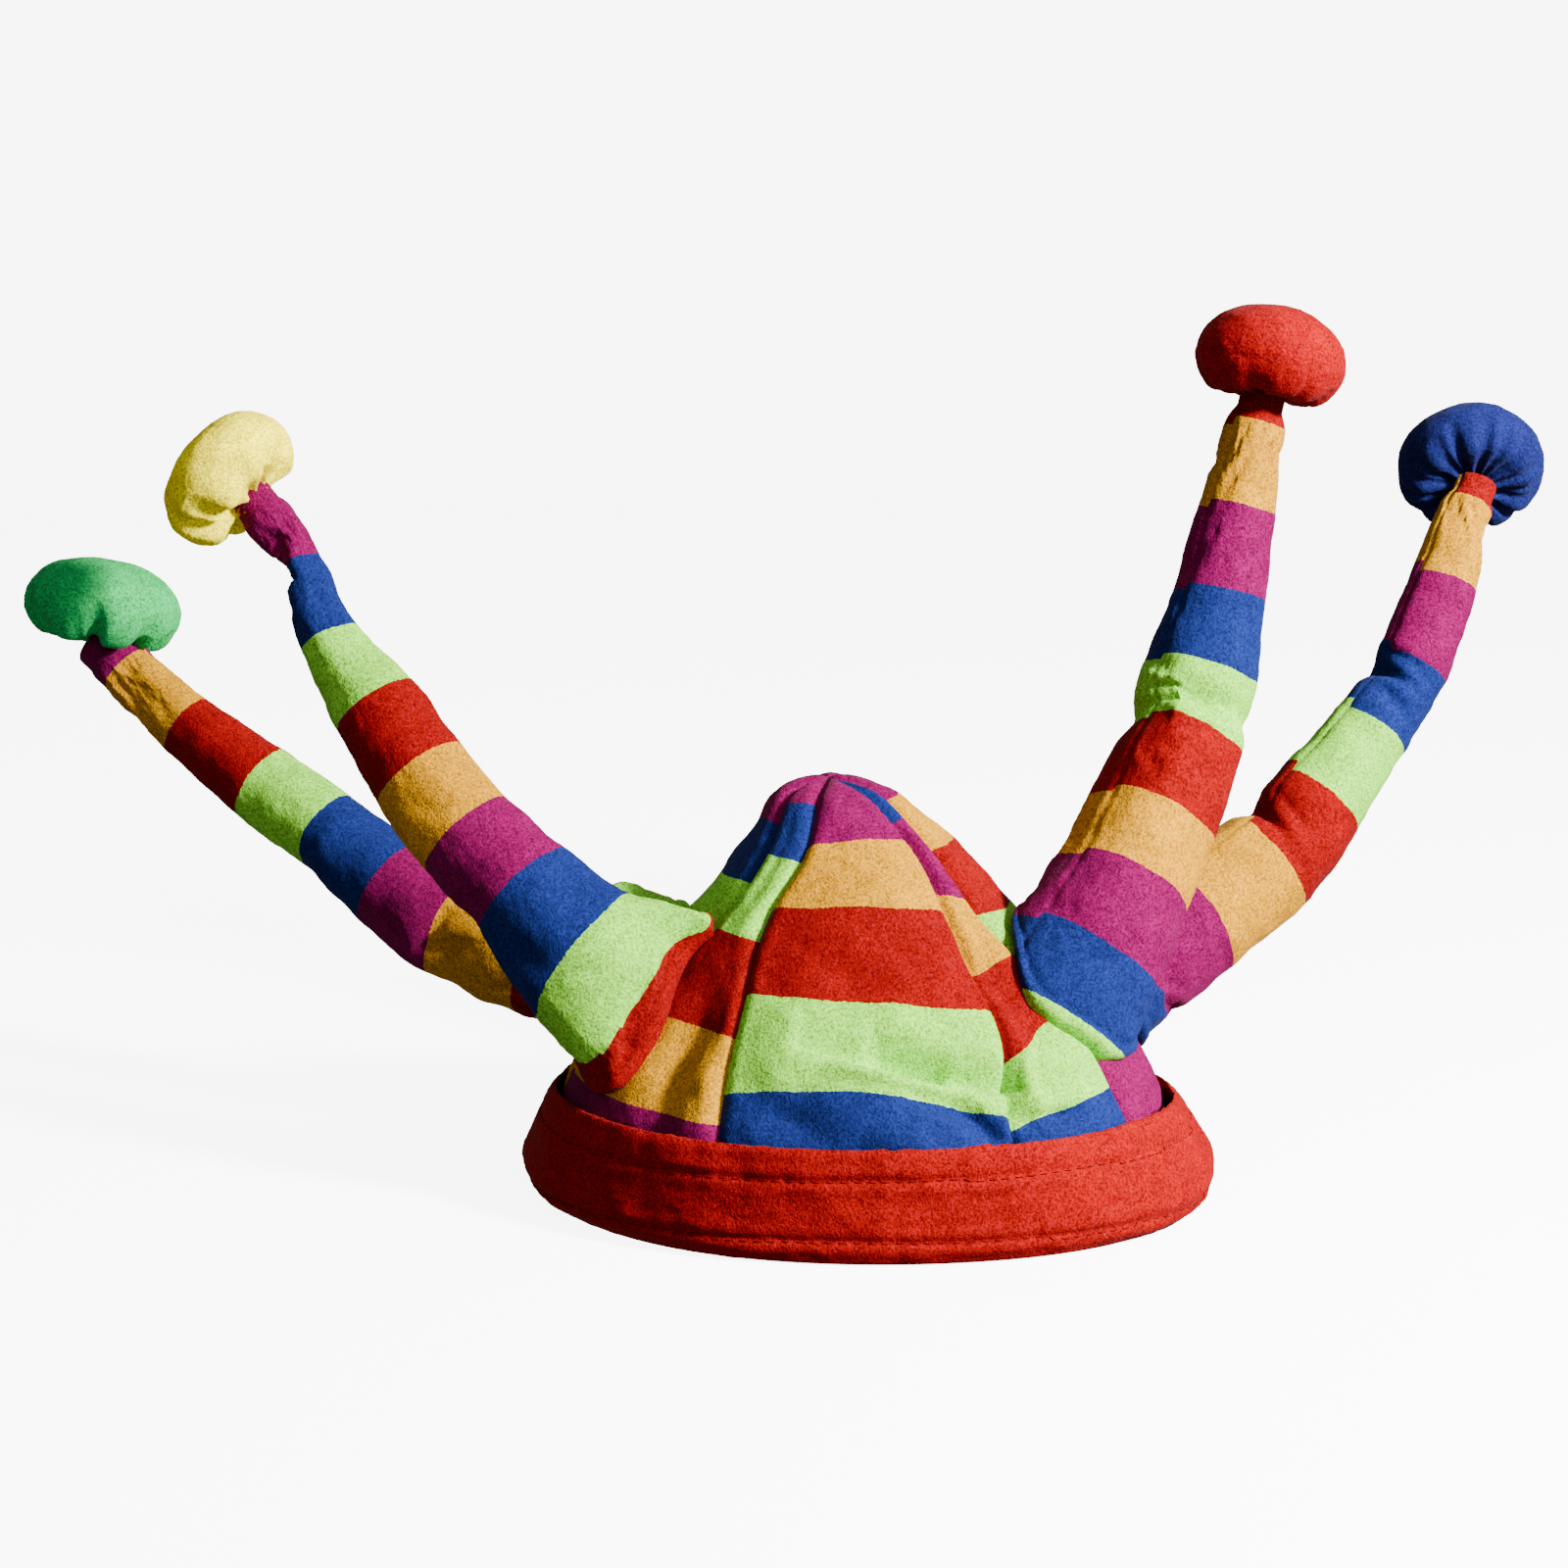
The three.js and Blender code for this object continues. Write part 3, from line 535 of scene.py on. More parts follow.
def velour(name, colour, glint_amount=0.5, striped=False):
    """Short-pile velour: a nap mottled with painted shade between tufts, fine crossing fibres with painted
    highlights at the tips, patches of painted sheen lighter or darker, a soft sheen and a fine bump."""
    material, tree, shader, place = new_material(name)
    warp = noise(tree, place, WARP_SCALE, output="Color")
    bent = blend(tree, "ADD", 0.012, place, warp)

    def streaks(turn, squeeze):
        turned = node(tree, "ShaderNodeMapping")
        set_inputs(turned, Rotation=turn, Scale=squeeze)
        put(tree, turned.inputs["Vector"], bent)
        return noise(tree, turned.outputs[0], PILE_SCALE, detail=1.0, roughness=0.6)

    first = streaks((0.4, 0.9, 0.6), (1, 1, 0.14))
    second = streaks((-0.5, 0.7, 1.9), (1, 0.16, 1))
    fibres = maths(tree, "MAXIMUM", first, second)
    nap = noise(tree, place, PILE_SCALE, roughness=0.6)
    # noise for the patches of painted sheen
    sheen_patches = noise(tree, place, SHEEN_PATCH_SCALE, detail=4.0, distortion=1.0, roughness=0.6)
    broad = noise(tree, place, BROAD_SCALE, detail=1.0)

    if striped:
        count = node(tree, "ShaderNodeAttribute", attribute_name="stripe").outputs["Fac"]
        fray = maths(tree, "MULTIPLY_ADD", centred(tree, noise(tree, place, FRAY_SCALE)), 0.035, count)
        sway = maths(tree, "MULTIPLY_ADD", centred(tree, noise(tree, place, SWAY_SCALE, 1.0)), 0.06, fray)
        cycle = maths(tree, "DIVIDE", maths(tree, "FLOORED_MODULO", sway, 5.0), 5.0)
        ramp = node(tree, "ShaderNodeValToRGB")
        ramp.color_ramp.interpolation = "CONSTANT"
        stops = ramp.color_ramp.elements
        while len(stops) < 5:
            stops.new(0.5)
        for k, tone in enumerate((LIME, BLUE, MAGENTA, GOLD, RED)):
            stops[k].position = k / 5
            stops[k].color = tone
        put(tree, ramp.inputs[0], cycle)
        base = ramp.outputs["Color"]
    else:
        whole = node(tree, "ShaderNodeRGB")
        whole.outputs[0].default_value = colour
        base = whole.outputs[0]

    # painted highlights where the tips of fibres catch the light, painted shade between tufts, and painted
    # sheen, lighter or darker, in patches where the pile lies one way
    painted_glint = mapped(tree, fibres, 0.56, 0.74, 0.0, glint_amount)
    shade = mapped(tree, nap, 0.34, 0.66, 0.5, 1.45)
    painted_sheen = mapped(tree, sheen_patches, 0.3, 0.7, 0.84, 1.16)
    wide = mapped(tree, broad, 0.3, 0.7, 0.9, 1.1)
    strength = maths(tree, "MULTIPLY", maths(tree, "MULTIPLY", shade, painted_sheen), wide)
    darkened = node(tree, "ShaderNodeVectorMath", operation="SCALE")
    put(tree, darkened.inputs[0], base)
    put(tree, darkened.inputs["Scale"], strength)
    # the colour of the painted highlights on the tips of fibres: the base screened over itself with a touch
    # of white
    pale = blend(tree, "SCREEN", 1.0, base, blend(tree, "ADD", 1.0, base, (0.006, 0.006, 0.01, 1)))
    put(tree, shader.inputs["Base Color"], blend(tree, "MIX", painted_glint, darkened.outputs[0], pale))
    set_inputs(shader, Roughness=0.82, Specular_IOR_Level=0.03)
    set_inputs(shader, Sheen_Weight=0.02, Sheen_Roughness=0.42, Sheen_Tint=(1.0, 0.94, 0.9, 1))
    relief = maths(tree, "ADD", maths(tree, "MULTIPLY", nap, 0.6), maths(tree, "MULTIPLY", fibres, 0.6))
    emboss(tree, shader, relief, 0.55, 0.0009)
    return material


def thread(name, colour):
    """Sewing thread: twisted plies along each stitch."""
    material, tree, shader, place = new_material(name)
    plies = noise(tree, place, PLY_SCALE, detail=1.0)
    dark = [c * 0.55 for c in colour[:3]] + [1]
    light = [min(1, c * 1.5) for c in colour[:3]] + [1]
    tone = blend(tree, "MIX", mapped(tree, plies, 0.35, 0.65, 0.0, 1.0), dark, light)
    put(tree, shader.inputs["Base Color"], tone)
    set_inputs(shader, Roughness=0.8, Specular_IOR_Level=0.08)
    emboss(tree, shader, plies, 0.4, 0.0002)
    return material


def horn_points(horn, stripe, degrees):
    """Points of a horn's face. Below stripe 0 it runs straight on into the crown and narrows."""
    inside = np.minimum(stripe, 0)
    held = np.maximum(stripe, 0)
    along, low, through = horn_frame(horn, held)
    middle = horn_middle(horn, held) + along * (30 * inside)[..., None]
    width = horn["width"] / 2 * read(horn["rows"], held, 4) * (1 + 0.28 * inside)
    depth = width * read(horn["rows"], held, 5)
    radius = 1
    for at, reach, facing, across, pinch in horn["creases"]:
        near = bump(wrapped(degrees - facing) / across) * bump((stripe - at) / reach)
        radius = radius - 2 * pinch * near
    angle = np.radians(degrees)
    return (
        middle
        + low * (np.cos(angle) * width * radius)[..., None]
        + through * (np.sin(angle) * depth * radius)[..., None]
    )


def inside_crown(points, margin):
    """Whether points lie inside the crown, or inside the cuff and below its top edge."""
    turn, up, radius = crown_place(points)
    face = 1 - SEAM_DIP * crown_valley(turn, up) - crown_dents(turn, up)
    size = CROWN_HALF_DEPTH * read(CROWN_LEVELS, up, 2)
    crown = (radius - face) * size < margin
    height = points[..., 2]
    top = cuff_level(1, turn)
    edge = cuff_point(1.0, CUFF_WALL, turn, height)
    middle_out = np.hypot(points[..., 0], points[..., 1]) - np.hypot(edge[..., 0], edge[..., 1])
    tucked = (height < top - CUFF_TUCK) & (middle_out < 2)
    return crown | tucked


def horn_start(horn, degrees):
    """The stripe count at which each side of a horn leaves the crown."""
    steps = np.arange(3.0, -1.2, -0.02)
    stripe, turned = np.meshgrid(steps, degrees, indexing="ij")
    hidden = inside_crown(horn_points(horn, stripe, turned), 0.4)
    first = np.argmax(hidden, axis=0)
    first[~hidden.any(axis=0)] = len(steps) - 1
    return smoothed(steps[first], 3)


def grid_normals(points, torus=False):
    """Normals of a grid that is closed across, or both ways, by differences."""
    across = np.roll(points, -1, 1) - np.roll(points, 1, 1)
    down = np.roll(points, -1, 0) - np.roll(points, 1, 0) if torus else np.gradient(points, axis=0)
    return unit(np.cross(across, down))


def grid_faces(rows, columns, closed, first=0):
    """Quads of a grid that is open (0), closed across (1) or closed both ways (2), facing the way of
    grid_normals."""
    j, i = np.meshgrid(np.arange(rows - (closed < 2)), np.arange(columns - (closed < 1)), indexing="ij")
    here, below = j * columns, (j + 1) % rows * columns
    beside = (i + 1) % columns
    return first + np.stack([here + i, here + beside, below + beside, below + i], -1).reshape(-1, 4)


def lengths_along(points):
    """The distance along a line of points from its first, or along each column of a grid."""
    steps = np.linalg.norm(np.diff(points, axis=0), axis=-1)
    return np.cumsum(np.concatenate([np.zeros_like(steps[:1]), steps]), axis=0)


def places_along(line, along, at):
    """Points of a line of points at distances along it."""
    return np.stack([np.interp(at, along, column) for column in line.T], -1)


def make_mesh(name, points, faces, attributes=None):
    """A smooth mesh object from points in millimetres, quads or triangles, and float attributes."""
    mesh = bpy.data.meshes.new(name)
    mesh.from_pydata((np.asarray(points) * MM).tolist(), [], [list(map(int, f)) for f in faces])
    for key, values in (attributes or {}).items():
        layer = mesh.attributes.new(key, "FLOAT", "POINT")
        layer.data.foreach_set("value", np.asarray(values, np.float32).ravel())
    mesh.polygons.foreach_set("use_smooth", np.ones(len(mesh.polygons), bool))
    mesh.update()
    obj = bpy.data.objects.new(name, mesh)
    bpy.context.scene.collection.objects.link(obj)
    return obj


def fan(ring, middle, outward_last):
    """Triangles that close a ring of point numbers with a middle point."""
    following = np.roll(ring, -1)
    mid = np.full_like(ring, middle)
    return np.stack([ring, following, mid] if outward_last else [following, ring, mid], -1)


def closed_tube(grid):
    """The points and faces of a grid closed across, with a middle point in each of its ends."""
    rows, columns = grid.shape[:2]
    flat = grid.reshape(-1, 3)
    ring = np.arange(columns)
    faces = grid_faces(rows, columns, 1).tolist()
    faces += fan(ring, len(flat), False).tolist()
    faces += fan(ring + (rows - 1) * columns, len(flat) + 1, True).tolist()
    return np.concatenate([flat, [grid[0].mean(0), grid[-1].mean(0)]]), faces


def spread(coarse, rows, columns):
    """A closed coarse grid of vectors brought to a finer one, smoothly."""
    old_rows, old_columns = coarse.shape[:2]
    at = np.linspace(0, old_rows - 1, rows)
    low = np.clip(np.floor(at).astype(int), 0, old_rows - 2)
    part = ease(at - low)[:, None, None]
    tall = coarse[low] * (1 - part) + coarse[low + 1] * part
    at = np.arange(columns) * old_columns / columns
    low = np.floor(at).astype(int) % old_columns
    part = ease(at - np.floor(at))[None, :, None]
    return tall[:, low] * (1 - part) + tall[:, (low + 1) % old_columns] * part


# Settings of the cloth simulation of the horns and balls
CLOTH = {
    "vertex_group_mass": "held",
    "use_pressure": True,
    "quality": 5,
    "mass": 0.3,
    "tension_stiffness": 20,
    "compression_stiffness": 10,
    "shear_stiffness": 8,
    "bending_stiffness": 0.3,
    "air_damping": 2,
}
CLOTH_FRAMES = 20
CLOTH_PRESSURE = 3.0


def settle(points, held_rows, cap, slack):
    """Lets a closed tube of cloth swell under pressure, its end rows held, and returns each point's move,
    which is capped, in millimetres."""
    rows, columns = points.shape[:2]
    flat = points.reshape(-1, 3)
    bag = make_mesh("bag", *closed_tube(points))
    group = bag.vertex_groups.new(name="held")
    held = list(range(held_rows[0] * columns))
    held += list(range((rows - held_rows[1]) * columns, rows * columns))
    held += [len(flat), len(flat) + 1]
    group.add([int(v) for v in held], 1.0, "REPLACE")
    cloth = bag.modifiers.new("cloth", "CLOTH")
    settings = cloth.settings
    for key, value in CLOTH.items():
        setattr(settings, key, value)
    settings.uniform_pressure_force = CLOTH_PRESSURE
    settings.effector_weights.gravity = 0
    settings.shrink_min = -slack
    cloth.collision_settings.use_collision = False
    cloth.collision_settings.use_self_collision = False
    cloth.point_cache.frame_start = 1
    cloth.point_cache.frame_end = CLOTH_FRAMES
    scene = bpy.context.scene
    for step in range(1, CLOTH_FRAMES + 1):
        scene.frame_set(step)
    shaped = bag.evaluated_get(bpy.context.evaluated_depsgraph_get())
    moved = np.empty(len(shaped.data.vertices) * 3, np.float32)
    shaped.data.vertices.foreach_get("co", moved)
    moved = moved.reshape(-1, 3)[: len(flat)] / MM - flat
    moved = np.nan_to_num(moved)
    length = np.maximum(np.linalg.norm(moved, axis=1, keepdims=True), 1e-9)
    moved *= np.minimum(1, cap / length)
    scene.frame_set(1)
    bpy.data.objects.remove(bag, do_unlink=True)
    return moved.reshape(rows, columns, 3)


def segment_bump(x, y, x0, y0, x1, y1, width, above=None):
    """A bump of height 1 along a short line that fades out sideways and at its ends. Its upper side may
    have a width of its own."""
    dx, dy = x1 - x0, y1 - y0
    length = math.hypot(dx, dy)
    along = ((x - x0) * dx + (y - y0) * dy) / length
    aside = ((x - x0) * dy - (y - y0) * dx) / length
    over = np.maximum(np.maximum(-along, along - length), 0)
    share = np.clip(along / length, 0, 1)
    body = np.sin(np.pi * (0.12 + 0.76 * share))
    reach = width if above is None else np.where(aside < 0, above, width)
    return body * bump(aside / reach) * bump(over / width)


# Folds of the horns: stripe and facing at both ends, width and depth in millimetres. A negative depth
# stands out.
HORN_FOLDS = {
    "front_left": (
        (6.75, -60, 6.95, 60, 2.2, 1.6),
        (6.55, 10, 6.75, 75, 1.8, 1.0),
        (6.1, -50, 6.6, -10, 2.2, 0.8),
        (3.1, 250, 3.7, 300, 4.0, 1.0),
        (1.0, 280, 1.8, 320, 5.0, 1.2),
    ),
    "back_left": (
        (1.5, 250, 2.1, 300, 3.0, 1.8),
        (2.0, 240, 2.2, 330, 2.5, 1.5),
        (5.0, 60, 5.4, 110, 3.0, 0.8),
        (0.6, 270, 1.3, 310, 4.0, 1.6),
    ),
    "front_right": (
        (4.2, 190, 4.45, 290, 2.2, 1.8),
        (4.6, 230, 4.25, 300, 1.8, 1.3),
        (4.75, 200, 4.5, 260, 2.0, -0.9),
        (4.0, 270, 4.15, 330, 2.5, 1.2),
        (0.3, 240, 1.2, 290, 5.0, 1.2),
        (7.2, 240, 7.8, 270, 2.0, 0.6),
    ),
    "back_right": (
        (3.2, 180, 3.05, 260, 2.2, 1.8),
        (3.5, 200, 3.2, 300, 2.5, 1.0),
        (5.6, 180, 5.5, 270, 2.2, 1.8),
        (5.9, 200, 5.7, 280, 2.0, 0.9),
        (5.3, 230, 5.1, 300, 2.5, 1.0),
    ),
}

# Seams between a horn's two panels: facing, and how many stripes the far panel is shifted by
HORN_PANELS = {
    "front_left": ((150, 0.0), (330, 0.0)),
    "back_left": ((170, 0.12), (350, 0.0)),
    "front_right": ((215, -0.1), (20, 0.0)),
    "back_right": ((205, 0.14), (30, 0.0)),
}


def horn_grid(place, columns, rows):
    """A horn's grid of points from the crown to its end, with its stripe counts and facings."""
    horn = HORNS[place]
    last = horn["rows"][-1][0]
    along, low, through = horn_frame(horn, np.array([0.0]))
    turns = 1.0 if np.dot(np.cross(low, through)[0], along[0]) > 0 else -1.0
    degrees = turns * 360 * np.arange(columns) / columns
    start = horn_start(horn, degrees)
    share = np.linspace(0, 1, rows)[:, None]
    stripe = start[None, :] + (last - start[None, :]) * share
    facing = np.broadcast_to(degrees, stripe.shape)
    return horn_points(horn, stripe, facing), stripe, facing


def seat(horn, points):
    """Moves that bring the front half of a horn's base onto its sewn line, and the roll's width all round."""
    line = np.array(horn["sewn"], float)
    base = points[0]
    count = len(base)
    turn, up, _ = crown_place(base)
    top, foot = int(np.argmax(up)), int(np.argmin(up))
    one = np.arange(top, top + (foot - top) % count + 1) % count
    other = np.arange(top, top - (top - foot) % count - 1, -1) % count
    front = one if base[one, 1].mean() < base[other, 1].mean() else other
    sewn = crown_surface(line[:, 0], line[:, 1], np.full(len(line), SEWN_OUT))
    along = lengths_along(sewn)
    share = np.linspace(0, along[-1], len(front))
    place = crown_surface(np.interp(share, along, line[:, 0]), np.interp(share, along, line[:, 1]), SEWN_OUT)
    moved = np.zeros_like(base)
    moved[front] = place - base[front]
    roll = np.full(count, ROLL_WIDTH)
    roll[front] = np.interp(share, along, line[:, 2])
    roll = smoothed(roll, 10)
    moved = np.stack([smoothed(moved[:, k], 10) for k in range(3)], -1)
    fade = np.clip(1 - lengths_along(points) / SEAT_FADE, 0, 1)
    return moved[None] * ease(fade)[..., None], roll


def build_horn(place):
    horn = HORNS[place]
    seed = list(HORNS).index(place)
    coarse, _, _ = horn_grid(place, *HORN_COARSE)
    rows = int(lengths_along(coarse)[-1].mean() / HORN_ROW)
    points, stripe, facing = horn_grid(place, HORN_COLUMNS, rows)
    moved = settle(coarse, (2, 2), cap=1.8, slack=0.02)
    points = points + spread(moved, rows, HORN_COLUMNS)
    roll = None
    if "sewn" in horn:
        moved, roll = seat(horn, points)
        points = points + moved
    outward = grid_normals(points)
    from_base = lengths_along(points)
    from_end = from_base[-1:] - from_base
    girth = np.linalg.norm(points - points.mean(1, keepdims=True), axis=-1)

    # the base is rolled under where it is sewn to the crown
    depth = 4.2 * np.clip(1 - from_base / BASE_TUCK, 0, 1) ** 2
    depth = depth - 1.2 * bump((from_base - 4.5) / 3.2) + 0.8 * bump((from_base - 8.6) / 1.0)

    pitch = from_base[-1].mean() / horn["rows"][-1][0]
    for s0, f0, s1, f1, width, deep in HORN_FOLDS[place]:
        middle_facing = (f0 + f1) / 2
        x = stripe * pitch
        y = np.radians(wrapped(facing - middle_facing)) * girth
        half = np.radians((f1 - f0) / 2) * girth.mean()
        depth = depth + FOLD_GAIN * deep * segment_bump(x, y, s0 * pitch, -half, s1 * pitch, half, width)
    for at, _ in HORN_PANELS[place]:
        aside = np.radians(wrapped(facing - at)) * girth
        depth = depth + 0.4 * bump(aside / 0.9) - 0.15 * bump((np.abs(aside) - 3) / 1.6)
    # the cloth is drawn in at the ball
    depth = depth + 1.2 * bump(from_end / 2.5)
    soft = waves(20 + seed, points, 26.0)
    nap = waves(40 + seed, points, 3.4, 2)
    depth = depth - 0.55 * soft - 0.1 * nap
    points = points - outward * depth[..., None]

    colour = horn["first"] + horn["step"] * stripe
    if roll is not None:
        past = (from_base - roll) / pitch
        colour = np.where(past < 0, past, np.maximum(colour, np.minimum(past, 0.2)))
    start, end = HORN_PANELS[place]
    far = ((facing - start[0]) % 360) < ((end[0] - start[0]) % 360)
    colour = colour + np.where(far, start[1], 0)

    # end cap inside the ball, and a base that follows the crown
    along = horn_frame(horn, np.array([horn["rows"][-1][0]]))[0][0]
    end = points[-1]
    tip = [end + along * 3.0, end + along * 6.0, end.mean(0) + (end - end.mean(0)) * 0.6 + along * 7.0]
    base = points[0]
    turn, up, _ = crown_place(base)
    middle_turn = np.degrees(np.angle(np.exp(1j * np.radians(turn)).mean()))
    turn = middle_turn + wrapped(turn - middle_turn)
    inner = []
    for share in (0.1, 0.4, 0.75):
        there = turn * share + middle_turn * (1 - share)
        high = up * share + up.mean() * (1 - share)
        inner.append(crown_surface(there, high, np.full(len(turn), -0.6)))
    grid = np.concatenate([np.stack(inner), points, np.stack(tip)])
    colour = np.concatenate([np.repeat(colour[:1], 3, 0), colour, np.repeat(colour[-1:], 3, 0)])
    colour = np.concatenate([colour.ravel(), [colour[0].mean(), colour[-1].mean()]])
    obj = make_mesh("velour_horn_" + place, *closed_tube(grid), {"stripe": colour})
    obj.data.materials.append(STRIPED)
    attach(obj, "root")
    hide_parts("horn_" + place)


def build_ball(place):
    horn = HORNS[place]
    out, back, up, shift, wide, tall = horn["ball"]
    slot, colour, count, deep, reach = BALLS[place]
    seed = list(HORNS).index(place)
    random = np.random.default_rng(60 + seed)
    axis = unit(np.array([horn["side"] * out, back, up]))
    sideways = unit(np.cross(axis, [0, 1, 0.3]))
    third = np.cross(axis, sideways)
    half_width = BALL_WIDTH / 2 * wide
    half_height = BALL_HEIGHT / 2 * tall
    end = horn_middle(horn, np.array(float(horn["rows"][-1][0])))
    middle = end + axis * (half_height - BALL_SINK)
    middle[0] += horn["side"] * shift * BALL_WIDTH
    neck = BALL_NECK * half_width

    def bag(rows, columns):
        latitude = np.radians(np.linspace(-88, 90, rows))[:, None]
        angle = 2 * np.pi * np.arange(columns)[None, :] / columns
        near = (1 - np.sin(latitude)) / 2
        radius = half_width * np.clip(np.cos(latitude), 0, 1) ** 0.85
        fold = 0
        for k in range(count):
            at = 2 * np.pi * (k + random_pleats[k, 0] * 0.5) / count
            width = (0.42 + 0.25 * random_pleats[k, 1]) * np.pi / count
            far = reach * (0.6 + 0.8 * random_pleats[k, 2])
            fade = np.clip(1 - (1 - near) / far, 0, 1) ** 0.8
            aside = (angle - at + np.pi) % (2 * np.pi) - np.pi
            fold = fold + deep * (0.6 + 0.8 * random_pleats[k, 3]) * bump(aside / width) * fade
        height = half_height * np.sin(latitude) + 5.0 * bump((1 - near) / 0.09)
        radius = np.maximum(radius, neck * 0.5 * np.clip(near * 30 - 28.5, 0, 1))
        radius = radius * (1 - fold)
        height = height + fold * half_height * 0.5 * near
        spot = (
            middle
            + sideways * (np.cos(angle) * radius)[..., None]
            + third * (np.sin(angle) * radius)[..., None]
            + axis * np.broadcast_to(height, radius.shape)[..., None]
        )
        return spot, fold

    random_pleats = random.uniform(-1, 1, (40, 4))
    random_pleats[:, 1:] = np.abs(random_pleats[:, 1:])
    coarse, _ = bag(*BALL_COARSE)
    moved = settle(coarse, (3, 1), cap=1.5, slack=0.03)
    points, fold = bag(BALL_ROWS, BALL_COLUMNS)
    points = points + spread(moved, BALL_ROWS, BALL_COLUMNS)
    outward = grid_normals(points)
    soft = waves(80 + seed, points, 24.0, 2)
    nap = waves(90 + seed, points, 3.0, 2)
    # the gathers are drawn in again, because the simulation presses them flat
    points = points + outward * (0.5 * soft + 0.14 * nap - 0.1 - 0.75 * half_width * fold)[..., None]
    obj = make_mesh("velour_ball_" + place, *closed_tube(points))
    obj.data.materials.append(velour("velour_" + slot, colour, glint_amount=0.55))
    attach(obj, "root")
    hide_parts("ball_" + place)


# Folds of the gores: turn and height at both ends, width below and above, and depth, in millimetres
GORE_FOLDS = (
    (-12, 0.462, 15, 0.4, 1.5, 8.0, 6.5),
    (4, 0.43, 31, 0.345, 1.6, 9.0, 11.0),
    (-4, 0.43, 20, 0.37, 2.6, 2.6, -3.2),
    (9, 0.352, 21, 0.3, 1.6, 4.5, 4.5),
    (18, 0.34, 27, 0.2, 4.0, 4.0, 6.5),
    (0, 0.3, 14, 0.22, 6.0, 6.0, -2.5),
    (33, 0.36, 36, 0.25, 4.5, 4.5, -4.5),
    (31, 0.272, 46, 0.285, 2.4, 2.4, 3.5),
    (-44, 0.5, -40, 0.25, 6.0, 6.0, 3.0),
    (-33, 0.33, -30, 0.2, 7.0, 7.0, -2.2),
    (-12, 0.62, 6, 0.56, 9.0, 9.0, 2.1),
    (-22, 0.4, -6, 0.47, 7.0, 7.0, -1.8),
    (-20, 0.31, -4, 0.27, 6.0, 6.0, 1.8),
    (44, 0.62, 40, 0.5, 5.0, 5.0, 3.6),
)


def gore_stripes(place, share, up):
    """The stripe number at places on a gore, from its table of edges."""
    edges = np.asarray(GORES[place][2], float)
    left, middle, right = edges[:, 1], edges[:, 2], edges[:, 3]
    result = np.zeros_like(up)
    for k in range(share.shape[1]):
        s = share[0, k]
        heights = left * (1 - s) * (1 - 2 * s) + 4 * middle * s * (1 - s) + right * s * (2 * s - 1)
        result[:, k] = np.interp(up[:, k], heights, edges[:, 0])
        low = up[:, k] < heights[0]
        onward = np.sign(edges[1, 0] - edges[0, 0]) / STRIPE_PITCH
        result[low, k] = edges[0, 0] + (up[low, k] - heights[0]) * onward
    return result


def build_gore(place):
    gore = GORES[place]
    seed = list(GORES).index(place)
    up = (1 - (1 - np.linspace(0, 1, GORE_ROWS)) ** 1.12)[:, None]
    share = np.linspace(0, 1, GORE_COLUMNS)[None, :]
    # columns crowd towards the seams
    share = 0.5 - 0.5 * np.cos(np.pi * share) * 0.55 + (share - 0.5) * 0.45
    start, end = seam_turns(up, gore)
    turn = start + (end - start) * share
    up = np.broadcast_to(up, turn.shape)
    width = np.linalg.norm(crown_form(end, up[:, :1]) - crown_form(start, up[:, :1]), axis=-1)
    aside = np.minimum(share, 1 - share) * width
    valley = read(CROWN_LEVELS, up, 4) * (1 - np.sin(np.pi * share)) ** 2
    radius = 1 - SEAM_DIP * valley - crown_dents(turn, up)
    # the gores' points bunch up in a round tip
    radius = radius * (1 + 0.16 * bump((up - 0.97) / 0.06))
    points = crown_form(turn, up, radius)
    outward = crown_normal(turn, up)
    around = np.linalg.norm(points[..., :2], axis=-1)
    depth = 1.5 * bump(aside / 1.5) * np.clip(up * 9, 0, 1) - 0.35 * bump((aside - 4.5) / 2.2)
    for t0, u0, t1, u1, below, above, deep in GORE_FOLDS:
        x = np.radians(wrapped(turn - (t0 + t1) / 2)) * around
        y = up * CROWN_HEIGHT
        reach = np.radians(abs(t1 - t0) / 2) * FOLD_RADIUS
        fold = segment_bump(x, y, -reach, u0 * CROWN_HEIGHT, reach + 0.01, u1 * CROWN_HEIGHT, below, above)
        depth = depth + deep * fold
    soft = waves(100 + seed, points, 34.0)
    nap = waves(110 + seed, points, 3.4, 2)
    calm = np.clip(up * 6 - 0.6, 0, 1)
    depth = depth - calm * 0.8 * soft * np.clip(aside / 6, 0, 1) - 0.1 * nap
    outer = points - outward * depth[..., None]
    inner = outer - outward * GORE_WALL
    colour = gore_stripes(place, np.broadcast_to(share, up.shape), up)
    count = GORE_ROWS * GORE_COLUMNS
    faces = grid_faces(GORE_ROWS, GORE_COLUMNS, 0).tolist()
    faces += grid_faces(GORE_ROWS, GORE_COLUMNS, 0, count)[:, ::-1].tolist()
    numbers = np.arange(count).reshape(GORE_ROWS, GORE_COLUMNS)
    rim = np.concatenate([numbers[0], numbers[1:, -1], numbers[-1, -2::-1], numbers[-2:0:-1, 0]])
    following = np.roll(rim, -1)
    faces += np.stack([following, rim, rim + count, following + count], -1).tolist()
    obj = make_mesh(
        "velour_gore_" + place,
        np.concatenate([outer.reshape(-1, 3), inner.reshape(-1, 3)]),
        faces,
        {"stripe": np.concatenate([colour.ravel(), colour.ravel()])},
    )
    obj.data.materials.append(STRIPED)
    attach(obj, "root")
    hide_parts("crown_gore_" + place)


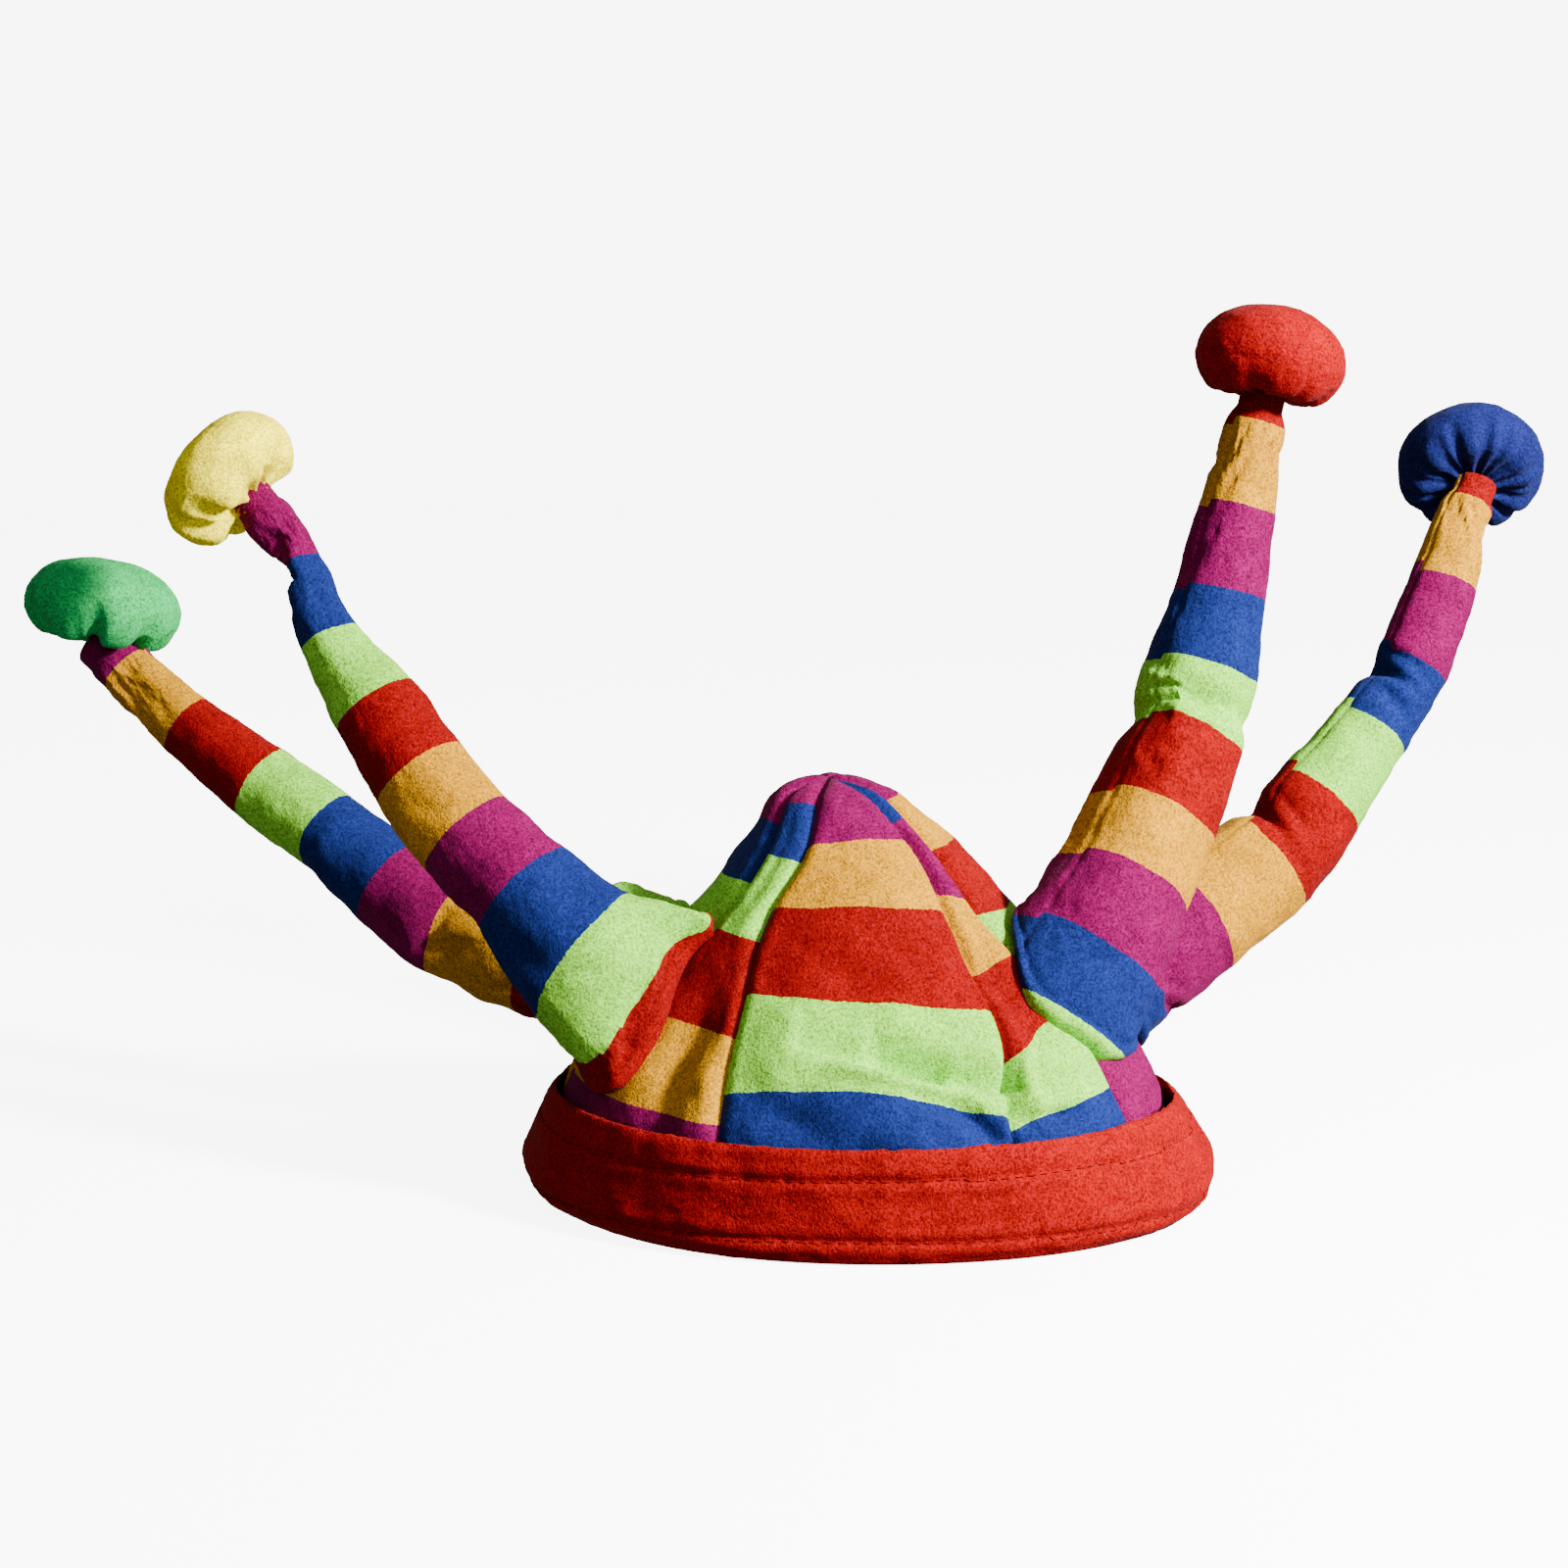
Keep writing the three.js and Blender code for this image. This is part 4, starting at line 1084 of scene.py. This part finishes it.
def smooth_loop(points, count):
    """A closed line through points, on a smooth curve, with a number of points spread evenly along it."""
    p0, p1, p2, p3 = (np.roll(points, k, 0) for k in (1, 0, -1, -2))
    t = np.linspace(0, 1, 12, endpoint=False)[:, None, None]
    curve = 0.5 * (
        2 * p1 + (p2 - p0) * t + (2 * p0 - 5 * p1 + 4 * p2 - p3) * t**2 + (3 * p1 - p0 - 3 * p2 + p3) * t**3
    )
    curve = curve.transpose(1, 0, 2).reshape(-1, points.shape[1])
    closed = np.concatenate([curve, curve[:1]])
    along = lengths_along(closed)
    return places_along(closed, along, np.linspace(0, along[-1], count, endpoint=False))


def cuff_section(turn):
    """The cuff's section at a turn as points, each with its share of the height on the outer face, or -1."""
    turn = float(turn)
    at = lambda share, inset, height: cuff_point(share, np.array(inset), np.array(turn), np.array(height))
    leaf = lambda inset, height: oval(
        CROWN_HALF_WIDTH,
        CROWN_HALF_DEPTH,
        np.array(CUFF_LEAF_INSET + inset),
        np.array(turn),
        np.array(height),
    )
    level = lambda share: float(cuff_level(share, np.array(turn)))
    outer = [0.0, 0.05, 0.12, 0.2, 0.3, 0.42, 0.55, 0.7, 0.84, 0.94]
    rows = [(*at(s, 0.0, level(s)), s) for s in outer]
    rows.append((*at(1.0, CUFF_WALL * 0.35, level(1.0) - 0.1), 1.0))
    unseen = [
        at(1.0, CUFF_WALL * 0.8, level(1.0) - 0.3),
        *(at(s, CUFF_WALL, max(level(s), CUFF_WALL + 1)) for s in (0.9, 0.75, 0.55, 0.4, 0.28)),
        at(0.1, CUFF_WALL, CUFF_WALL + 0.8),
        at(0.0, CUFF_WALL / 2, CUFF_WALL),
        leaf(0.0, CUFF_WALL + 0.2),
        leaf(0.0, CUFF_LEAF_HEIGHT * 0.5),
        leaf(0.1, CUFF_LEAF_HEIGHT - 0.5),
        leaf(CUFF_LEAF_WALL / 2, CUFF_LEAF_HEIGHT),
        leaf(CUFF_LEAF_WALL, CUFF_LEAF_HEIGHT - 0.5),
        leaf(CUFF_LEAF_WALL, CUFF_LEAF_HEIGHT * 0.5),
        leaf(CUFF_LEAF_WALL, 1.0),
        leaf(CUFF_LEAF_WALL - 0.6, 0.05),
        at(0.0, CUFF_WALL + 0.5, 0.0),
    ]
    return np.array(rows + [(*point, -1) for point in unseen])


def build_cuff():
    turns = 360 * np.arange(CUFF_COLUMNS) / CUFF_COLUMNS
    sections = np.stack([smooth_loop(cuff_section(t), CUFF_ROUND) for t in turns], 1)
    points, share = sections[..., :3], sections[..., 3]
    outward = grid_normals(points, torus=True)
    turn = np.broadcast_to(turns, share.shape)
    face = np.clip(share * 20, 0, 1)
    depth = 0.0
    for height, deep in ((STITCH_HIGH, 0.6), (STITCH_LOW, 0.8)):
        wander = 0.015 * np.sin(np.radians(turn) * 3 + height * 9)
        line = (share - height - wander) * CUFF_HEIGHT
        depth = depth + face * deep * bump(line / 0.9) - face * 0.35 * bump((np.abs(line) - 3) / 2)
        pucker = np.sin(np.radians(turn) * 105) * 0.5 + np.sin(np.radians(turn) * 61 + 2) * 0.5
        depth = depth + face * 0.14 * pucker * bump(line / 4)
    soft = waves(130, points, 48.0, 2)
    small = waves(131, points * [1, 1, 2.4], 17.0, 2)
    nap = waves(132, points, 3.2, 2)
    depth = depth - face * (0.75 * soft + 0.3 * small) - 0.1 * nap
    # a soft kink at the right where the band turns back
    kink = bump(wrapped(turn - 78) / 7) * bump((share - 0.62) / 0.1)
    depth = depth + face * 2.4 * kink - face * 1.6 * bump(wrapped(turn - 78) / 9) * bump((share - 0.42) / 0.1)
    low = np.clip(points[..., 2] / 1.2, 0, 1)
    points = points - outward * (depth * low)[..., None]
    points[..., 2] = np.maximum(points[..., 2], 0.0)
    faces = grid_faces(CUFF_ROUND, CUFF_COLUMNS, 2)
    obj = make_mesh("velour_cuff", points.reshape(-1, 3), faces.tolist())
    obj.data.materials.append(velour("velour_cuff_red", CUFF_RED, glint_amount=0.5))
    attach(obj, "root")
    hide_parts("cuff")
    return obj, points, share, outward, turns


def build_stitches(points, share, outward, turns):
    """The thread of the cuff's two rows of stitches, as short low loops in their grooves."""
    sides, rings = 5, 6
    verts, faces = [], []
    around = np.radians(turns)
    for height, length, gap in ((STITCH_HIGH, 2.6, 1.6), (STITCH_LOW, 2.6, 1.8)):
        wander = height + 0.015 * np.sin(around * 3 + height * 9)
        line = []
        for column, level in enumerate(wander):
            values = share[:, column]
            inside = values[:-1] >= 0
            cross = np.where(inside & (values[:-1] <= level) & (values[1:] > level))[0]
            row = cross[0] if len(cross) else 0
            line.append((points[row, column], outward[row, column]))
        places = np.array([p for p, _ in line])
        normals = np.array([n for _, n in line])
        closed = np.concatenate([places, places[:1]])
        along = lengths_along(closed)
        total = along[-1]
        pieces = int(total / (length + gap))
        for k in range(pieces):
            first = k * total / pieces
            at = first + np.linspace(0, length, rings)
            arch = np.sin(np.linspace(0, np.pi, rings))
            place = places_along(closed, along, at)
            column = np.clip(np.searchsorted(along, at) - 1, 0, len(turns) - 1)
            normal = normals[column]
            place = place + normal * (0.1 + 0.28 * arch)[:, None]
            direction = unit(np.gradient(place, axis=0))
            side = unit(np.cross(direction, normal))
            base = len(verts)
            for p, n, s in zip(place, normal, side):
                for a in np.arange(sides) * 2 * np.pi / sides:
                    verts.append(p + STITCH_RADIUS * (math.cos(a) * n + math.sin(a) * s))
            faces += grid_faces(rings, sides, 1, base).tolist()
            faces.append([base + i for i in reversed(range(sides))])
            faces.append([base + (rings - 1) * sides + i for i in range(sides)])
    obj = make_mesh("cuff_stitches", np.array(verts), faces)
    obj.data.materials.append(thread("thread_red", THREAD_RED))
    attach(obj, "root")
    return obj


def build_stage():
    """A plain pale floor that curves up all round into a backdrop. It glows, as a lit studio floor does,
    but throws no light back on the hat."""
    flat, bend, top, sides = 2100.0, 900.0, 3500.0, 96
    angles = np.linspace(0, np.pi / 2, 13)
    reach = np.concatenate([[0.5, 400.0, 1200.0], flat + bend * np.sin(angles), [flat + bend]])
    rise = np.concatenate([[0, 0, 0], bend * (1 - np.cos(angles)), [top]]) - 0.4
    turn = 2 * np.pi * np.arange(sides) / sides
    points = np.stack(
        [np.outer(reach, np.cos(turn)), np.outer(reach, np.sin(turn)), np.repeat(rise[:, None], sides, 1)], -1
    )
    obj = make_mesh("floor", points.reshape(-1, 3), grid_faces(len(reach), sides, 1).tolist())
    material, tree, shader, place = new_material("floor_white")
    tones = (0.93, 0.93, 0.93, 1), (0.95, 0.95, 0.95, 1)
    put(tree, shader.inputs["Base Color"], blend(tree, "MIX", noise(tree, place, 3.0, 1.0), *tones))
    set_inputs(shader, Roughness=0.95, Specular_IOR_Level=0.1)
    set_inputs(shader, Emission_Color=(1, 1, 1, 1), Emission_Strength=FLOOR_GLOW)
    obj.visible_diffuse = False
    obj.visible_glossy = False
    obj.visible_shadow = False
    obj.data.materials.append(material)


def add_light(name, place, target, size, power):
    data = bpy.data.lights.new(name, "AREA")
    data.size = size
    data.energy = power
    obj = bpy.data.objects.new(name, data)
    obj.location = place
    direction = mathutils.Vector(target) - mathutils.Vector(place)
    obj.rotation_euler = direction.to_track_quat("-Z", "Y").to_euler()
    bpy.context.scene.collection.objects.link(obj)


def light_scene():
    world = bpy.data.worlds.new("studio")
    world.use_nodes = True
    tree = world.node_tree
    sky = tree.nodes["Background"]
    sky.inputs["Color"].default_value = (1, 1, 1, 1)
    sides = node(tree, "ShaderNodeSeparateXYZ")
    put(tree, sides.inputs[0], node(tree, "ShaderNodeTexCoord").outputs["Generated"])
    height = maths(tree, "MULTIPLY", sides.outputs[2], 0.45)
    toward = maths(tree, "MULTIPLY_ADD", sides.outputs[0], 0.8, height)
    put(tree, sky.inputs["Strength"], mapped(tree, toward, -0.5, 0.9, 0.22, 0.7))
    bpy.context.scene.world = world
    add_light("key", (0.95, -0.6, 0.75), (0.02, 0, 0.1), 0.2, 96)
    add_light("fill", (0.3, -1.8, 0.8), (0, 0, 0.12), 1.0, 3)


def add_camera():
    data = bpy.data.cameras.new("photo_view")
    data.sensor_width = 36
    data.lens = CAMERA_LENS
    camera = bpy.data.objects.new("photo_view", data)
    camera.location = CAMERA_PLACE
    camera.rotation_euler = (math.radians(90 - CAMERA_DOWN), 0, 0)
    bpy.context.scene.collection.objects.link(camera)
    bpy.context.scene.camera = camera


add_camera()
light_scene()
build_stage()

STRIPED = velour("velour_striped", None, glint_amount=0.5, striped=True)

for name in GORES:
    build_gore(name)
cuff, cuff_points, cuff_share, cuff_outward, cuff_turns = build_cuff()
stitches = build_stitches(cuff_points, cuff_share, cuff_outward, cuff_turns)
for name in HORNS:
    build_horn(name)
    build_ball(name)
